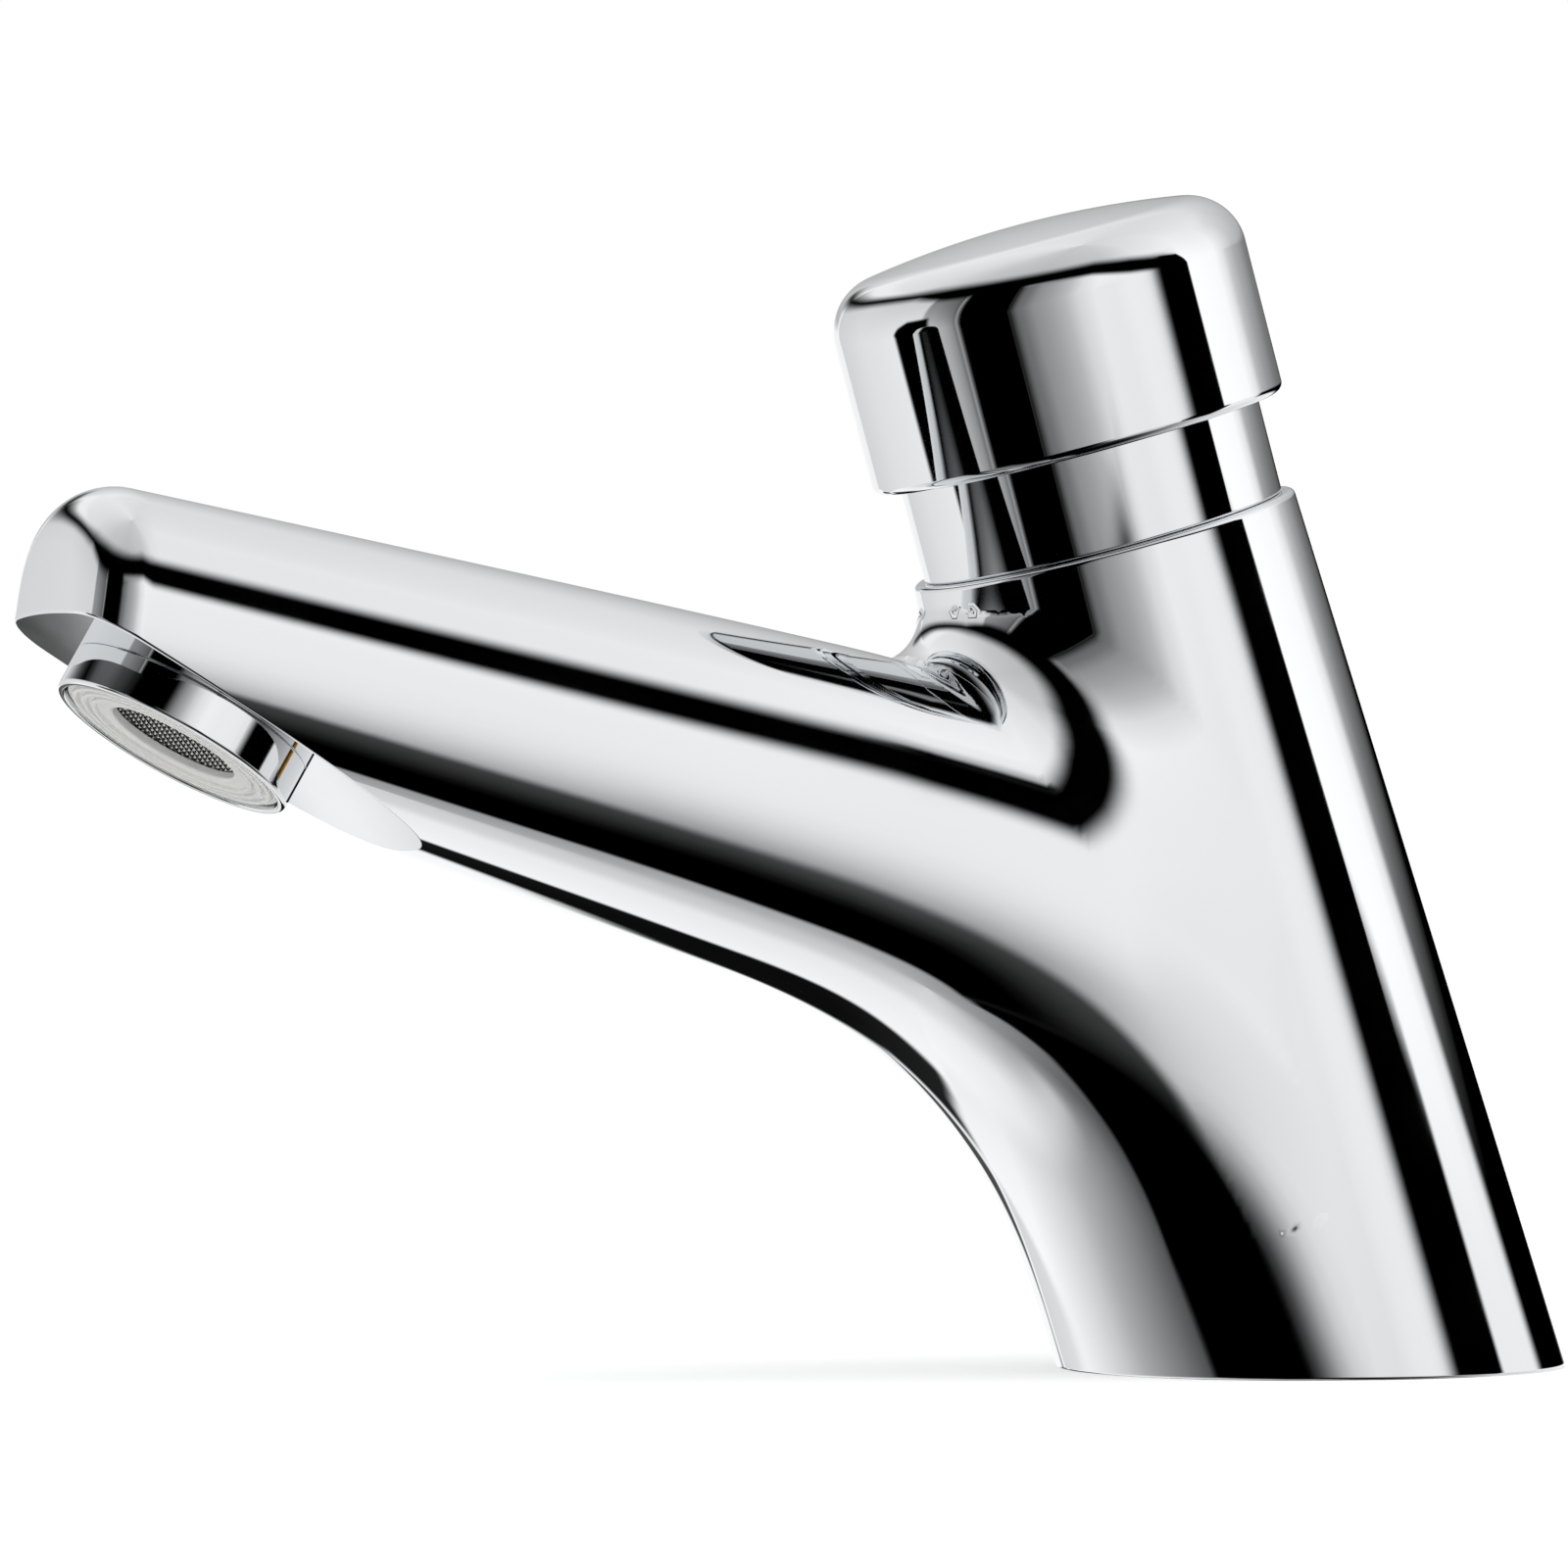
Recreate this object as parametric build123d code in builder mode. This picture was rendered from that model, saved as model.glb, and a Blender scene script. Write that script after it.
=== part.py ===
from build123d import *
from math import cos, pi, radians, sin, tan
import os

# Push timed tap, in millimetres. +Z is up, the deck is Z = 0, the spout points to -Y.
# The origin is where the axis of the leaning column meets the deck.
# Heights along the column's axis are "along", radii round it are "radius".

# Column: a cone that leans forward, flattened by the deck at its foot
column_lean = 16.5
column_top = 86.3
column_top_radius = 19.45
column_foot_radius = 23.7
column_lip_round = 0.6

# Underside of the spout in the middle plane: a line up from the foot, an arc, a line to the nose
foot_front = 26.5
foot_line_length = 10.0
foot_line_slope = 70.4
sweep_radius = 47.0
underside_slope = 18.0

# Top line of the spout in the middle plane
top_line_front = 53.4
top_line_height = 71.4
top_line_slope = 10.1

# Spout widths, measured from its middle plane, and the nose
nose_reach = 136.4
nose_below_top_line = 14.3
nose_lean = 8.0
nose_round = 6.0
nose_half_width = 12.6
root_half_width = 17.6
shin_half_width = 21.3
foot_half_width = 22.6
elbow_depth = 45.0

# Cored waterway and drillings in the casting
cast_wall = 3.2
inlet_chamber_radius = 10.6
inlet_chamber_bottom = 16.0
inlet_drilling_radius = 7.0
outlet_drilling_radius = 5.0

# Outlet: a flat on the underside of the nose, square to the stream
outlet_tilt = 30.5
outlet_forward = 121.3
outlet_below_top_line = 19.3
aerator_radius = 12.0
aerator_stand = 4.2
aerator_thread_radius = 10.9
aerator_thread_length = 8.0
aerator_bore_radius = 9.7
aerator_face_wall = 0.8
aerator_flange = 2.8
aerator_edge_round = 0.3
aerator_washer_thickness = 1.6
aerator_washer_bore = 8.2
insert_length = 5.6
insert_face_inset = 0.5
insert_hole_radius = 6.4
insert_ridge_height = 0.35
insert_ridge_width = 0.5
insert_ridge_shares = (0.74, 0.83, 0.92)
mesh_radius = 7.5
mesh_thickness = 0.5
mesh_recess = 0.8
limiter_thickness = 1.5
limiter_hole_radius = 0.9
limiter_hole_circle = 5.5
limiter_hole_count = 8
outlet_chamber_depth = 3.6
outlet_chamber_radius = 8.4

# Sides of the round sections of the sealing rings and the spring's wire
section_sides = 8

# Fits
thread_clearance = 0.1
running_clearance = 0.08
sliding_gap = 0.35
seal_clearance = 0.03
valve_gap = 0.05
overrun = 1.0

# Button and its travel
travel = 7.0
button_height = 22.2
button_wall = 2.3
button_shoulder_radius = 5.7
button_crown_radius = 100.0
button_edge_round = 0.9
button_thread_step = 0.7
button_shown_collar = 9.7
carrier_thickness = 3.5
carrier_hub_radius = 7.0
carrier_hub_length = 4.5
button_ledge = 1.0
stop_gap = 1.0

# Collar between the body and the button
collar_wall = 1.5
collar_height = 12.7
collar_flange = 2.0
collar_edge_round = 0.3

# Bonnet: the brass nut that closes the cartridge, guides the stem and seats the spring
bonnet_thread_radius = 15.0
bonnet_thread_length = 6.3
bonnet_floor = 4.0
bonnet_skirt_wall = 2.3
bonnet_flange_width = 1.4
bonnet_flange_thickness = 2.7
bonnet_boss_radius = 7.6
bonnet_boss_length = 10.3
bonnet_slot_count = 4
bonnet_slot_width = 3.0
bonnet_slot_depth = 1.6
bonnet_seal_inner = 11.3
bonnet_seal_width = 2.0
bonnet_seal_thickness = 1.3

# Return spring
spring_wire = 1.4
spring_mean_radius = 10.1
spring_end_gap = 0.5
spring_active_turns = 4
closed_quarter_count = 3
opening_quarter_count = 2

# Stem
stem_radius = 4.0
stem_foot_radius = 2.4
stem_spindle_radius = 3.0
stem_shoulder_radius = 5.4
stem_shoulder_length = 2.0
stem_spigot_length = 6.9
button_nut_across_flats = 10.0
button_nut_thickness = 3.0

# Cartridge sleeve with its timing cylinder, flow chamber and ports
sleeve_length = 33.0
sleeve_land_step = 1.2
sleeve_waist_step = 1.2
sleeve_land_length = 7.0
timing_bore_radius = 10.5
timing_bore_length = 16.0
partition_thickness = 4.0
flow_bore_radius = 9.2
port_radius = 2.2
port_count = 6
seat_recess_radius = 10.2
seat_thickness = 3.0
seat_bore_radius = 6.0
seat_lip_radius = 6.9
seat_lip_height = 0.8
ring_groove_depth = 1.9
ring_groove_width = 2.4
ring_thickness = 1.8

# Timing piston with its lip seal and bleed screw
piston_thickness = 4.5
piston_top_gap = 2.0
piston_side_gap = 0.5
lip_seal_depth = 1.9
lip_seal_width = 2.3
lip_seal_notch = 0.7
clip_thickness = 1.0
clip_radius = 5.2
clip_groove_depth = 0.5
clip_opening = 3.0
bleed_screw_radius = 1.0
bleed_screw_place = 6.7
bleed_screw_stand = 0.5
bleed_screw_length = 3.5
bleed_slot_width = 0.5

# Valve below the seat
washer_thickness = 3.0
washer_radius = 7.6
holder_radius = 8.8
holder_thickness = 2.5
holder_rim = 2.0
valve_screw_head_radius = 4.6
valve_screw_head_height = 2.5
valve_screw_shank_radius = 1.6
valve_screw_length = 9.0
valve_screw_slot = 1.0
stem_end_gap = 0.3

# Threaded tail, its seal and strainer, and the fixing below the deck
shank_radius = 12.0
shank_below_backnut = 2.0
tail_relief_width = 1.5
tail_relief_depth = 1.0
tail_radius = 10.48
tail_bore_radius = 6.5
tail_length = 52.0
tail_thread_depth = 9.0
tail_chamfer = 0.8
tail_seal_thickness = 1.5
tail_seal_bore = 7.2
strainer_flange_radius = 8.4
strainer_flange_thickness = 0.8
strainer_length = 10.0
strainer_wall = 0.5
strainer_slot_width = 1.2
strainer_slot_length = 6.0
strainer_slot_count = 6
foot_wall = 3.6
foot_seal_width = 3.5
foot_seal_depth = 3.0
deck_thickness = 10.0
rubber_washer_thickness = 3.0
rubber_washer_radius = 20.0
steel_washer_thickness = 1.5
steel_washer_radius = 18.5
backnut_across_flats = 32.0
backnut_thickness = 8.0
backnut_chamfer = 1.0

# Frames: the column's axis, the outlet's axis, and the half planes that turned profiles are drawn in
lean = radians(column_lean)
column_direction = Vector(0, -sin(lean), cos(lean))
column_axis = Axis((0, 0, 0), column_direction)
column_plane = Plane(origin=(0, 0, 0), x_dir=(1, 0, 0), z_dir=column_direction)
column_section = Plane(origin=(0, 0, 0), x_dir=(1, 0, 0), z_dir=(0, -cos(lean), -sin(lean)))
turn = radians(outlet_tilt)
top_line_rise = tan(radians(top_line_slope))
outlet_height = top_line_height + (outlet_forward - top_line_front) * top_line_rise - outlet_below_top_line
outlet_centre = Vector(0, -outlet_forward, outlet_height)
outlet_direction = Vector(0, -sin(turn), -cos(turn))
outlet_axis = Axis(outlet_centre, outlet_direction)
outlet_plane = Plane(origin=outlet_centre, x_dir=(1, 0, 0), z_dir=outlet_direction)
outlet_section = Plane(origin=outlet_centre, x_dir=(1, 0, 0), z_dir=(0, cos(turn), -sin(turn)))
upright_section = Plane.XZ


def step(inner, outer, low, high):
    """Adds one rectangle of a turned profile: from one radius to another, between two heights."""
    with Locations(((inner + outer) / 2, (low + high) / 2)):
        Rectangle(outer - inner, high - low)


def column_radius(along):
    share = along / column_top
    return column_foot_radius + (column_top_radius - column_foot_radius) * share


# Stations of the underside: each gives a point on it and the direction square to it, into the metal
foot_turn = radians(90 - foot_line_slope)
nose_turn = radians(90 - underside_slope)
foot_line_top = (-foot_front - foot_line_length * sin(foot_turn), foot_line_length * cos(foot_turn))
sweep_centre = (
    foot_line_top[0] - sweep_radius * cos(foot_turn),
    foot_line_top[1] - sweep_radius * sin(foot_turn),
)
sweep_end = (
    sweep_centre[0] + sweep_radius * cos(nose_turn),
    sweep_centre[1] + sweep_radius * sin(nose_turn),
)


def underside(angle, beyond=0):
    """A point of the underside, and the direction into the metal there.

    The angle turns along the sweep, and beyond runs on along the line past the sweep's end.
    """
    inward = (cos(angle), sin(angle))
    along_line = (-inward[1] * beyond, inward[0] * beyond)
    point = (
        sweep_centre[0] + sweep_radius * inward[0] + along_line[0],
        sweep_centre[1] + sweep_radius * inward[1] + along_line[1],
    )
    return point, inward


def depth_to_top_line(point, inward):
    """Distance from a point of the underside to the straight top line of the spout."""
    height_there = top_line_height - (point[0] + top_line_front) * top_line_rise
    return (height_there - point[1]) / (inward[1] + inward[0] * top_line_rise)


def spout_section(point, inward, depth, half_width, fullness_share, trim=0):
    """Draws one closed section of the spout: an oval that is squarer where its share is larger."""
    low = trim
    middle = (low + depth - trim) / 2
    reach = (depth - 2 * trim) / 2
    origin = (0, point[0] + inward[0] * middle, point[1] + inward[1] * middle)
    plane = Plane(origin=origin, x_dir=(1, 0, 0), z_dir=(0, inward[1], -inward[0]))
    count = 16
    power = 2 / fullness_share
    points = []
    for index in range(count):
        angle = 2 * pi * index / count
        across = (abs(cos(angle)) ** power) * (1 if cos(angle) >= 0 else -1)
        upward = (abs(sin(angle)) ** power) * (1 if sin(angle) >= 0 else -1)
        points.append(((half_width - trim) * across, -reach * upward))
    with BuildSketch(plane) as section:
        with BuildLine():
            Spline(*points, periodic=True)
        make_face()
    return section.sketch


# Stations of the spout from below the deck to its straight shank: angle, run, half width, fullness
sweep_turn = nose_turn - foot_turn
past_foot = -2 * foot_line_length
elbow_station_count = 9
foot_fullness_share = 2.1
shin_fullness_share = 2.2
root_fullness_share = 2.7
nose_fullness_share = 3.0
stations = [(foot_turn, past_foot, foot_half_width, foot_fullness_share)]
for index in range(elbow_station_count):
    share = index / (elbow_station_count - 1)
    narrowing = share * share * (3 - 2 * share)
    half_width = shin_half_width + (root_half_width - shin_half_width) * narrowing
    fullness_share = shin_fullness_share + (root_fullness_share - shin_fullness_share) * narrowing
    stations.append((foot_turn + share * sweep_turn, 0, half_width, fullness_share))
nose_into = (sin(radians(nose_lean)), cos(radians(nose_lean)))
nose_height = top_line_height + (nose_reach - top_line_front) * top_line_rise - nose_below_top_line


def section_at(station, trim=0):
    angle, run, half_width, fullness_share = station
    place, into = underside(angle, run)
    depth = min(elbow_depth, depth_to_top_line(place, into))
    return spout_section(place, into, depth, half_width, fullness_share, trim)


def nose_section(back, inset):
    """A section of the nose, set back from its face and drawn in from its full outline."""
    rise = tan(radians(underside_slope))
    forward = nose_reach - back + (nose_height - sweep_end[1]) * nose_into[0]
    place = (-forward, sweep_end[1] + (forward + sweep_end[0]) * rise)
    depth = depth_to_top_line(place, nose_into)
    return spout_section(place, nose_into, depth, nose_half_width, nose_fullness_share, inset)


# The spout's outer form: the elbow, the straight shank and the rounded nose
with BuildPart() as spout_form:
    for station in stations:
        add(section_at(station))
    add(nose_section(nose_round, 0))
    loft(ruled=True)
    for share in (0, 0.35, 0.65, 0.88, 1.0):
        add(nose_section(nose_round * (1 - share), nose_round * (1 - (1 - share ** 2) ** 0.5)))
    loft()

# The core that leaves the spout hollow, clear of the outlet's flat and of the boss round its socket
socket_radius = aerator_thread_radius + thread_clearance
socket_depth = aerator_thread_length + aerator_washer_thickness
flat_reach = 4 * nose_half_width
with BuildPart() as spout_core:
    add(section_at(stations[-1], cast_wall))
    add(nose_section(nose_round, cast_wall))
    loft(ruled=True)
    with BuildSketch(outlet_plane.offset(-cast_wall)):
        Rectangle(flat_reach, flat_reach)
    extrude(amount=flat_reach, mode=Mode.SUBTRACT)
    with BuildSketch(outlet_plane.offset(-socket_depth)):
        Circle(socket_radius + cast_wall)
    extrude(amount=flat_reach, mode=Mode.SUBTRACT)

# The foot seal lies in a pocket a wall's width inside the foot
foot_seal_outer = column_foot_radius - foot_wall
foot_seal_inner = foot_seal_outer - foot_seal_width

# Radii that follow one another outwards, from the bonnet to the button, and inwards to the sleeve
bonnet_flange_radius = bonnet_thread_radius + bonnet_flange_width
collar_radius = bonnet_flange_radius + sliding_gap + collar_wall
button_bore = collar_radius + sliding_gap
button_radius = button_bore + button_wall
button_thread_radius = button_bore - button_thread_step
sleeve_land_radius = bonnet_thread_radius - sleeve_land_step
sleeve_waist_radius = sleeve_land_radius - sleeve_waist_step

# Heights along the column that its pieces share
bonnet_low = column_top - bonnet_thread_length
sleeve_low = bonnet_low - sleeve_length
partition_high = bonnet_low - timing_bore_length
partition_low = partition_high - partition_thickness
port_along = (sleeve_low + seat_thickness + partition_low) / 2 + port_radius
cartridge_bore = sleeve_land_radius + thread_clearance
outlet_start = column_direction * ((partition_low + partition_high) / 2)
collar_high = column_top + collar_height
carrier_low = collar_high + travel + stop_gap
carrier_high = carrier_low + carrier_thickness
button_low = column_top + button_shown_collar
button_high = button_low + button_height

# Body: the chromed brass casting, with every bore that the working parts sit in
with BuildPart() as body:
    with BuildSketch(column_section) as column_profile:
        with BuildLine():
            Polyline(
                (0, -2 * column_foot_radius),
                (column_radius(-2 * column_foot_radius), -2 * column_foot_radius),
                (column_top_radius, column_top),
                (0, column_top),
                close=True,
            )
        make_face()
        fillet(column_profile.vertices().group_by(Axis.Y)[-1].sort_by(Axis.X)[-1], column_lip_round)
    revolve(axis=column_axis)
    add(spout_form.part)
    split(bisect_by=Plane.XY, keep=Keep.TOP)
    with BuildSketch(outlet_plane):
        Rectangle(flat_reach, flat_reach)
    extrude(amount=flat_reach, mode=Mode.SUBTRACT)
    with BuildSketch(column_section):
        step(0, bonnet_thread_radius + thread_clearance, bonnet_low, column_top + overrun)
        step(0, cartridge_bore, sleeve_low, bonnet_low)
        step(0, inlet_chamber_radius, inlet_chamber_bottom, sleeve_low)
    revolve(axis=column_axis, mode=Mode.SUBTRACT)
    with BuildSketch(Plane.XY):
        Circle(inlet_drilling_radius)
    extrude(amount=inlet_chamber_bottom + inlet_chamber_radius * sin(lean), mode=Mode.SUBTRACT)
    with BuildSketch(Plane.XY):
        Circle(shank_radius + thread_clearance)
    extrude(amount=tail_thread_depth, mode=Mode.SUBTRACT)
    with BuildSketch(Plane.XY):
        Circle(foot_seal_outer + thread_clearance)
        Circle(foot_seal_inner - thread_clearance, mode=Mode.SUBTRACT)
    extrude(amount=foot_seal_depth, mode=Mode.SUBTRACT)
    add(spout_core.part, mode=Mode.SUBTRACT)
    with BuildSketch(Plane(origin=outlet_start, x_dir=(1, 0, 0), z_dir=(0, -1, 0))):
        Circle(outlet_drilling_radius)
    extrude(amount=-sweep_end[0] + outlet_start.Y, mode=Mode.SUBTRACT)
    with BuildSketch(outlet_plane):
        Circle(socket_radius)
    extrude(amount=-socket_depth, mode=Mode.SUBTRACT)
    with BuildSketch(outlet_plane.offset(-socket_depth)):
        Circle(outlet_chamber_radius)
    extrude(amount=-outlet_chamber_depth, mode=Mode.SUBTRACT)


# Collar: the chromed ring between the body and the button, held down by the bonnet's flange
bonnet_flange_low = column_top + collar_flange
bonnet_flange_high = bonnet_flange_low + bonnet_flange_thickness
with BuildPart() as collar:
    with BuildSketch(column_section) as collar_profile:
        step(collar_radius - collar_wall, collar_radius, column_top, collar_high)
        rim = collar_profile.vertices().group_by(Axis.X)[-1]
        fillet(rim, collar_edge_round)
        collar_bore = collar_radius - collar_wall
        step(bonnet_thread_radius + thread_clearance, collar_bore, column_top, bonnet_flange_low)
    revolve(axis=column_axis)

# Bonnet: closes the cartridge, guides the stem, and holds the spring in its pocket
bonnet_floor_high = bonnet_low + bonnet_floor
bonnet_boss_high = bonnet_floor_high + bonnet_boss_length
bonnet_bore = bonnet_thread_radius - bonnet_skirt_wall
stem_bore = stem_radius + running_clearance
stem_seal_low = bonnet_floor_high + bonnet_floor / 2
with BuildPart() as bonnet:
    with BuildSketch(column_section):
        step(stem_bore, bonnet_thread_radius, bonnet_low, bonnet_floor_high)
        step(bonnet_bore, bonnet_thread_radius, bonnet_floor_high, bonnet_flange_high)
        step(bonnet_bore, bonnet_flange_radius, bonnet_flange_low, bonnet_flange_high)
        step(stem_bore, bonnet_boss_radius, bonnet_floor_high, bonnet_boss_high)
    revolve(axis=column_axis)
    with BuildSketch(column_section):
        step(0, stem_radius + ring_groove_depth, stem_seal_low, stem_seal_low + ring_groove_width)
        step(
            bonnet_seal_inner,
            bonnet_seal_inner + bonnet_seal_width,
            bonnet_low,
            bonnet_low + bonnet_seal_thickness,
        )
    revolve(axis=column_axis, mode=Mode.SUBTRACT)
    slot_high = bonnet_flange_high + overrun
    slot_size = bonnet_slot_depth + overrun
    with BuildSketch(column_plane.offset(slot_high)):
        with PolarLocations(bonnet_flange_radius, bonnet_slot_count):
            Rectangle(2 * (bonnet_flange_radius - bonnet_bore + overrun), bonnet_slot_width)
    extrude(amount=-slot_size, mode=Mode.SUBTRACT)

# Flat seal between the bonnet and the cartridge sleeve
with BuildPart() as bonnet_seal:
    with BuildSketch(column_section):
        step(
            bonnet_seal_inner + thread_clearance,
            bonnet_seal_inner + bonnet_seal_width - thread_clearance,
            bonnet_low,
            bonnet_low + bonnet_seal_thickness - thread_clearance,
        )
    revolve(axis=column_axis)

# Ring round the stem, in its groove in the bonnet's boss
with BuildPart() as stem_seal:
    with BuildSketch(column_section):
        ring_centre = stem_radius + seal_clearance + ring_thickness / 2
        with Locations((ring_centre, stem_seal_low + ring_groove_width / 2)):
            RegularPolygon(ring_thickness / 2, section_sides)
    revolve(axis=column_axis)

# Cartridge sleeve: timing bore above the partition, ported flow chamber below it
sleeve_seal_heights = (
    sleeve_low + sleeve_land_length / 2,
    bonnet_low - sleeve_land_length / 2,
)
seat_high = sleeve_low + seat_thickness
with BuildPart() as sleeve:
    with BuildSketch(column_section) as sleeve_profile:
        step(stem_bore, sleeve_waist_radius, sleeve_low, bonnet_low)
        step(sleeve_waist_radius, sleeve_land_radius, sleeve_low, sleeve_low + sleeve_land_length)
        step(sleeve_waist_radius, sleeve_land_radius, bonnet_low - sleeve_land_length, bonnet_low)
    revolve(axis=column_axis)
    with BuildSketch(column_section):
        step(0, timing_bore_radius, partition_high, bonnet_low + overrun)
        step(0, flow_bore_radius, seat_high, partition_low)
        step(0, seat_recess_radius, sleeve_low - overrun, seat_high)
        for height in sleeve_seal_heights:
            groove_low = height - ring_groove_width / 2
            step(
                sleeve_land_radius - ring_groove_depth,
                sleeve_land_radius + overrun,
                groove_low,
                groove_low + ring_groove_width,
            )
    revolve(axis=column_axis, mode=Mode.SUBTRACT)
    for index in range(port_count):
        angle = 360 * index / port_count
        port_plane = Plane(
            origin=column_direction * port_along,
            x_dir=column_direction,
            z_dir=Vector(1, 0, 0).rotate(column_axis, angle),
        )
        with BuildSketch(port_plane):
            Circle(port_radius)
        extrude(amount=sleeve_land_radius, mode=Mode.SUBTRACT)

# Two rings that seal the sleeve's lands in the body
with BuildPart() as sleeve_seals:
    with BuildSketch(column_section):
        ring_centre = cartridge_bore - seal_clearance - ring_thickness / 2
        for height in sleeve_seal_heights:
            with Locations((ring_centre, height)):
                RegularPolygon(ring_thickness / 2, section_sides)
    revolve(axis=column_axis)

# Valve seat, pressed into the foot of the sleeve, with the raised lip that the washer closes
seat_outer = seat_recess_radius - thread_clearance
with BuildPart() as valve_seat:
    with BuildSketch(column_section):
        step(seat_bore_radius, seat_outer, sleeve_low, seat_high)
        step(seat_bore_radius, seat_lip_radius, sleeve_low - seat_lip_height, sleeve_low)
    revolve(axis=column_axis)

# Valve washer, its cup and its screw, drawn in the closed place
washer_high = sleeve_low - seat_lip_height - valve_gap
washer_low = washer_high - washer_thickness
holder_low = washer_low - holder_thickness
stem_foot_bore = stem_foot_radius + thread_clearance
with BuildPart() as valve_washer:
    with BuildSketch(column_section):
        step(stem_foot_bore, washer_radius, washer_low, washer_high)
    revolve(axis=column_axis)

with BuildPart() as valve_holder:
    with BuildSketch(column_section):
        step(stem_foot_bore, holder_radius, holder_low, washer_low)
        step(washer_radius + thread_clearance, holder_radius, washer_low, washer_low + holder_rim)
    revolve(axis=column_axis)

with BuildPart() as valve_screw:
    with BuildSketch(column_section):
        step(0, valve_screw_head_radius, holder_low - valve_screw_head_height, holder_low)
        step(0, valve_screw_shank_radius, holder_low, holder_low + valve_screw_length)
    revolve(axis=column_axis)
    with BuildSketch(column_plane.offset(holder_low - valve_screw_head_height)):
        Rectangle(2 * valve_screw_head_radius, valve_screw_slot)
    extrude(amount=valve_screw_slot, mode=Mode.SUBTRACT)

# Stem: one turned rod from the valve to the button
piston_high = bonnet_low - piston_top_gap
piston_low = piston_high - piston_thickness
shoulder_low = piston_low - stem_shoulder_length
stem_main_low = partition_low - stem_shoulder_length
stem_high = carrier_high + button_nut_thickness + clip_groove_depth
with BuildPart() as stem:
    with BuildSketch(column_section):
        step(0, stem_foot_radius, holder_low + stem_end_gap, washer_high)
        step(0, stem_spindle_radius, washer_high, stem_main_low)
        step(0, stem_radius, stem_main_low, carrier_low)
        step(stem_radius, stem_shoulder_radius, shoulder_low, piston_low)
        step(0, stem_spindle_radius, carrier_low, stem_high)
    revolve(axis=column_axis)
    with BuildSketch(column_section):
        clip_high = piston_high + clip_thickness
        step(stem_radius - clip_groove_depth, stem_radius + overrun, piston_high, clip_high)
    revolve(axis=column_axis, mode=Mode.SUBTRACT)
    with BuildSketch(column_section):
        screw_hole_high = holder_low + valve_screw_length + stem_end_gap
        step(0, valve_screw_shank_radius + thread_clearance, holder_low, screw_hole_high)
    revolve(axis=column_axis, mode=Mode.SUBTRACT)

# Timing piston with a groove for its lip seal and a drilling for its bleed screw
piston_radius = timing_bore_radius - piston_side_gap
lip_seal_low = (piston_low + piston_high - lip_seal_width) / 2
bleed_place = column_plane.offset(piston_high)
with BuildPart() as piston:
    with BuildSketch(column_section):
        step(stem_radius + thread_clearance, piston_radius, piston_low, piston_high)
    revolve(axis=column_axis)
    with BuildSketch(column_section):
        groove_bottom = piston_radius - lip_seal_depth
        step(groove_bottom, piston_radius + overrun, lip_seal_low, lip_seal_low + lip_seal_width)
    revolve(axis=column_axis, mode=Mode.SUBTRACT)
    with BuildSketch(bleed_place):
        with Locations((0, bleed_screw_place)):
            Circle(bleed_screw_radius + thread_clearance)
    extrude(amount=-piston_thickness, mode=Mode.SUBTRACT)

with BuildPart() as lip_seal:
    with BuildSketch(column_section):
        seal_inner = groove_bottom + thread_clearance
        seal_outer = timing_bore_radius - running_clearance
        seal_high = lip_seal_low + lip_seal_width - seal_clearance
        step(seal_inner, seal_outer, lip_seal_low + seal_clearance, seal_high)
    revolve(axis=column_axis)
    with BuildSketch(column_section):
        notch_middle = (seal_inner + seal_outer) / 2
        notch_reach = lip_seal_notch / 2
        notch_low = seal_high - lip_seal_notch
        step(notch_middle - notch_reach, notch_middle + notch_reach, notch_low, seal_high + overrun)
    revolve(axis=column_axis, mode=Mode.SUBTRACT)

# Spring clip above the piston, open at one side
with BuildPart() as piston_clip:
    with BuildSketch(column_plane.offset(piston_high)):
        Circle(clip_radius)
        Circle(stem_radius - clip_groove_depth + thread_clearance, mode=Mode.SUBTRACT)
        with Locations((0, clip_radius)):
            Rectangle(clip_opening, 2 * clip_radius, mode=Mode.SUBTRACT)
    extrude(amount=clip_thickness - seal_clearance)

with BuildPart() as bleed_screw:
    with BuildSketch(bleed_place.offset(bleed_screw_stand)):
        with Locations((0, bleed_screw_place)):
            Circle(bleed_screw_radius)
    extrude(amount=-bleed_screw_length)
    with BuildSketch(bleed_place.offset(bleed_screw_stand)):
        with Locations((0, bleed_screw_place)):
            Rectangle(2 * bleed_screw_radius, bleed_slot_width)
    extrude(amount=-bleed_slot_width, mode=Mode.SUBTRACT)

# Button: a domed cap whose skirt slides over the collar, screwed up against its carrier
crown_low = button_high - button_crown_radius
crown_bore = button_thread_radius - button_ledge


def crown_height(radius, wall=0):
    """Height of the crown's outer face at a radius, or of a face inside it."""
    reach = button_crown_radius - wall
    return crown_low + (reach * reach - radius * radius) ** 0.5


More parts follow.
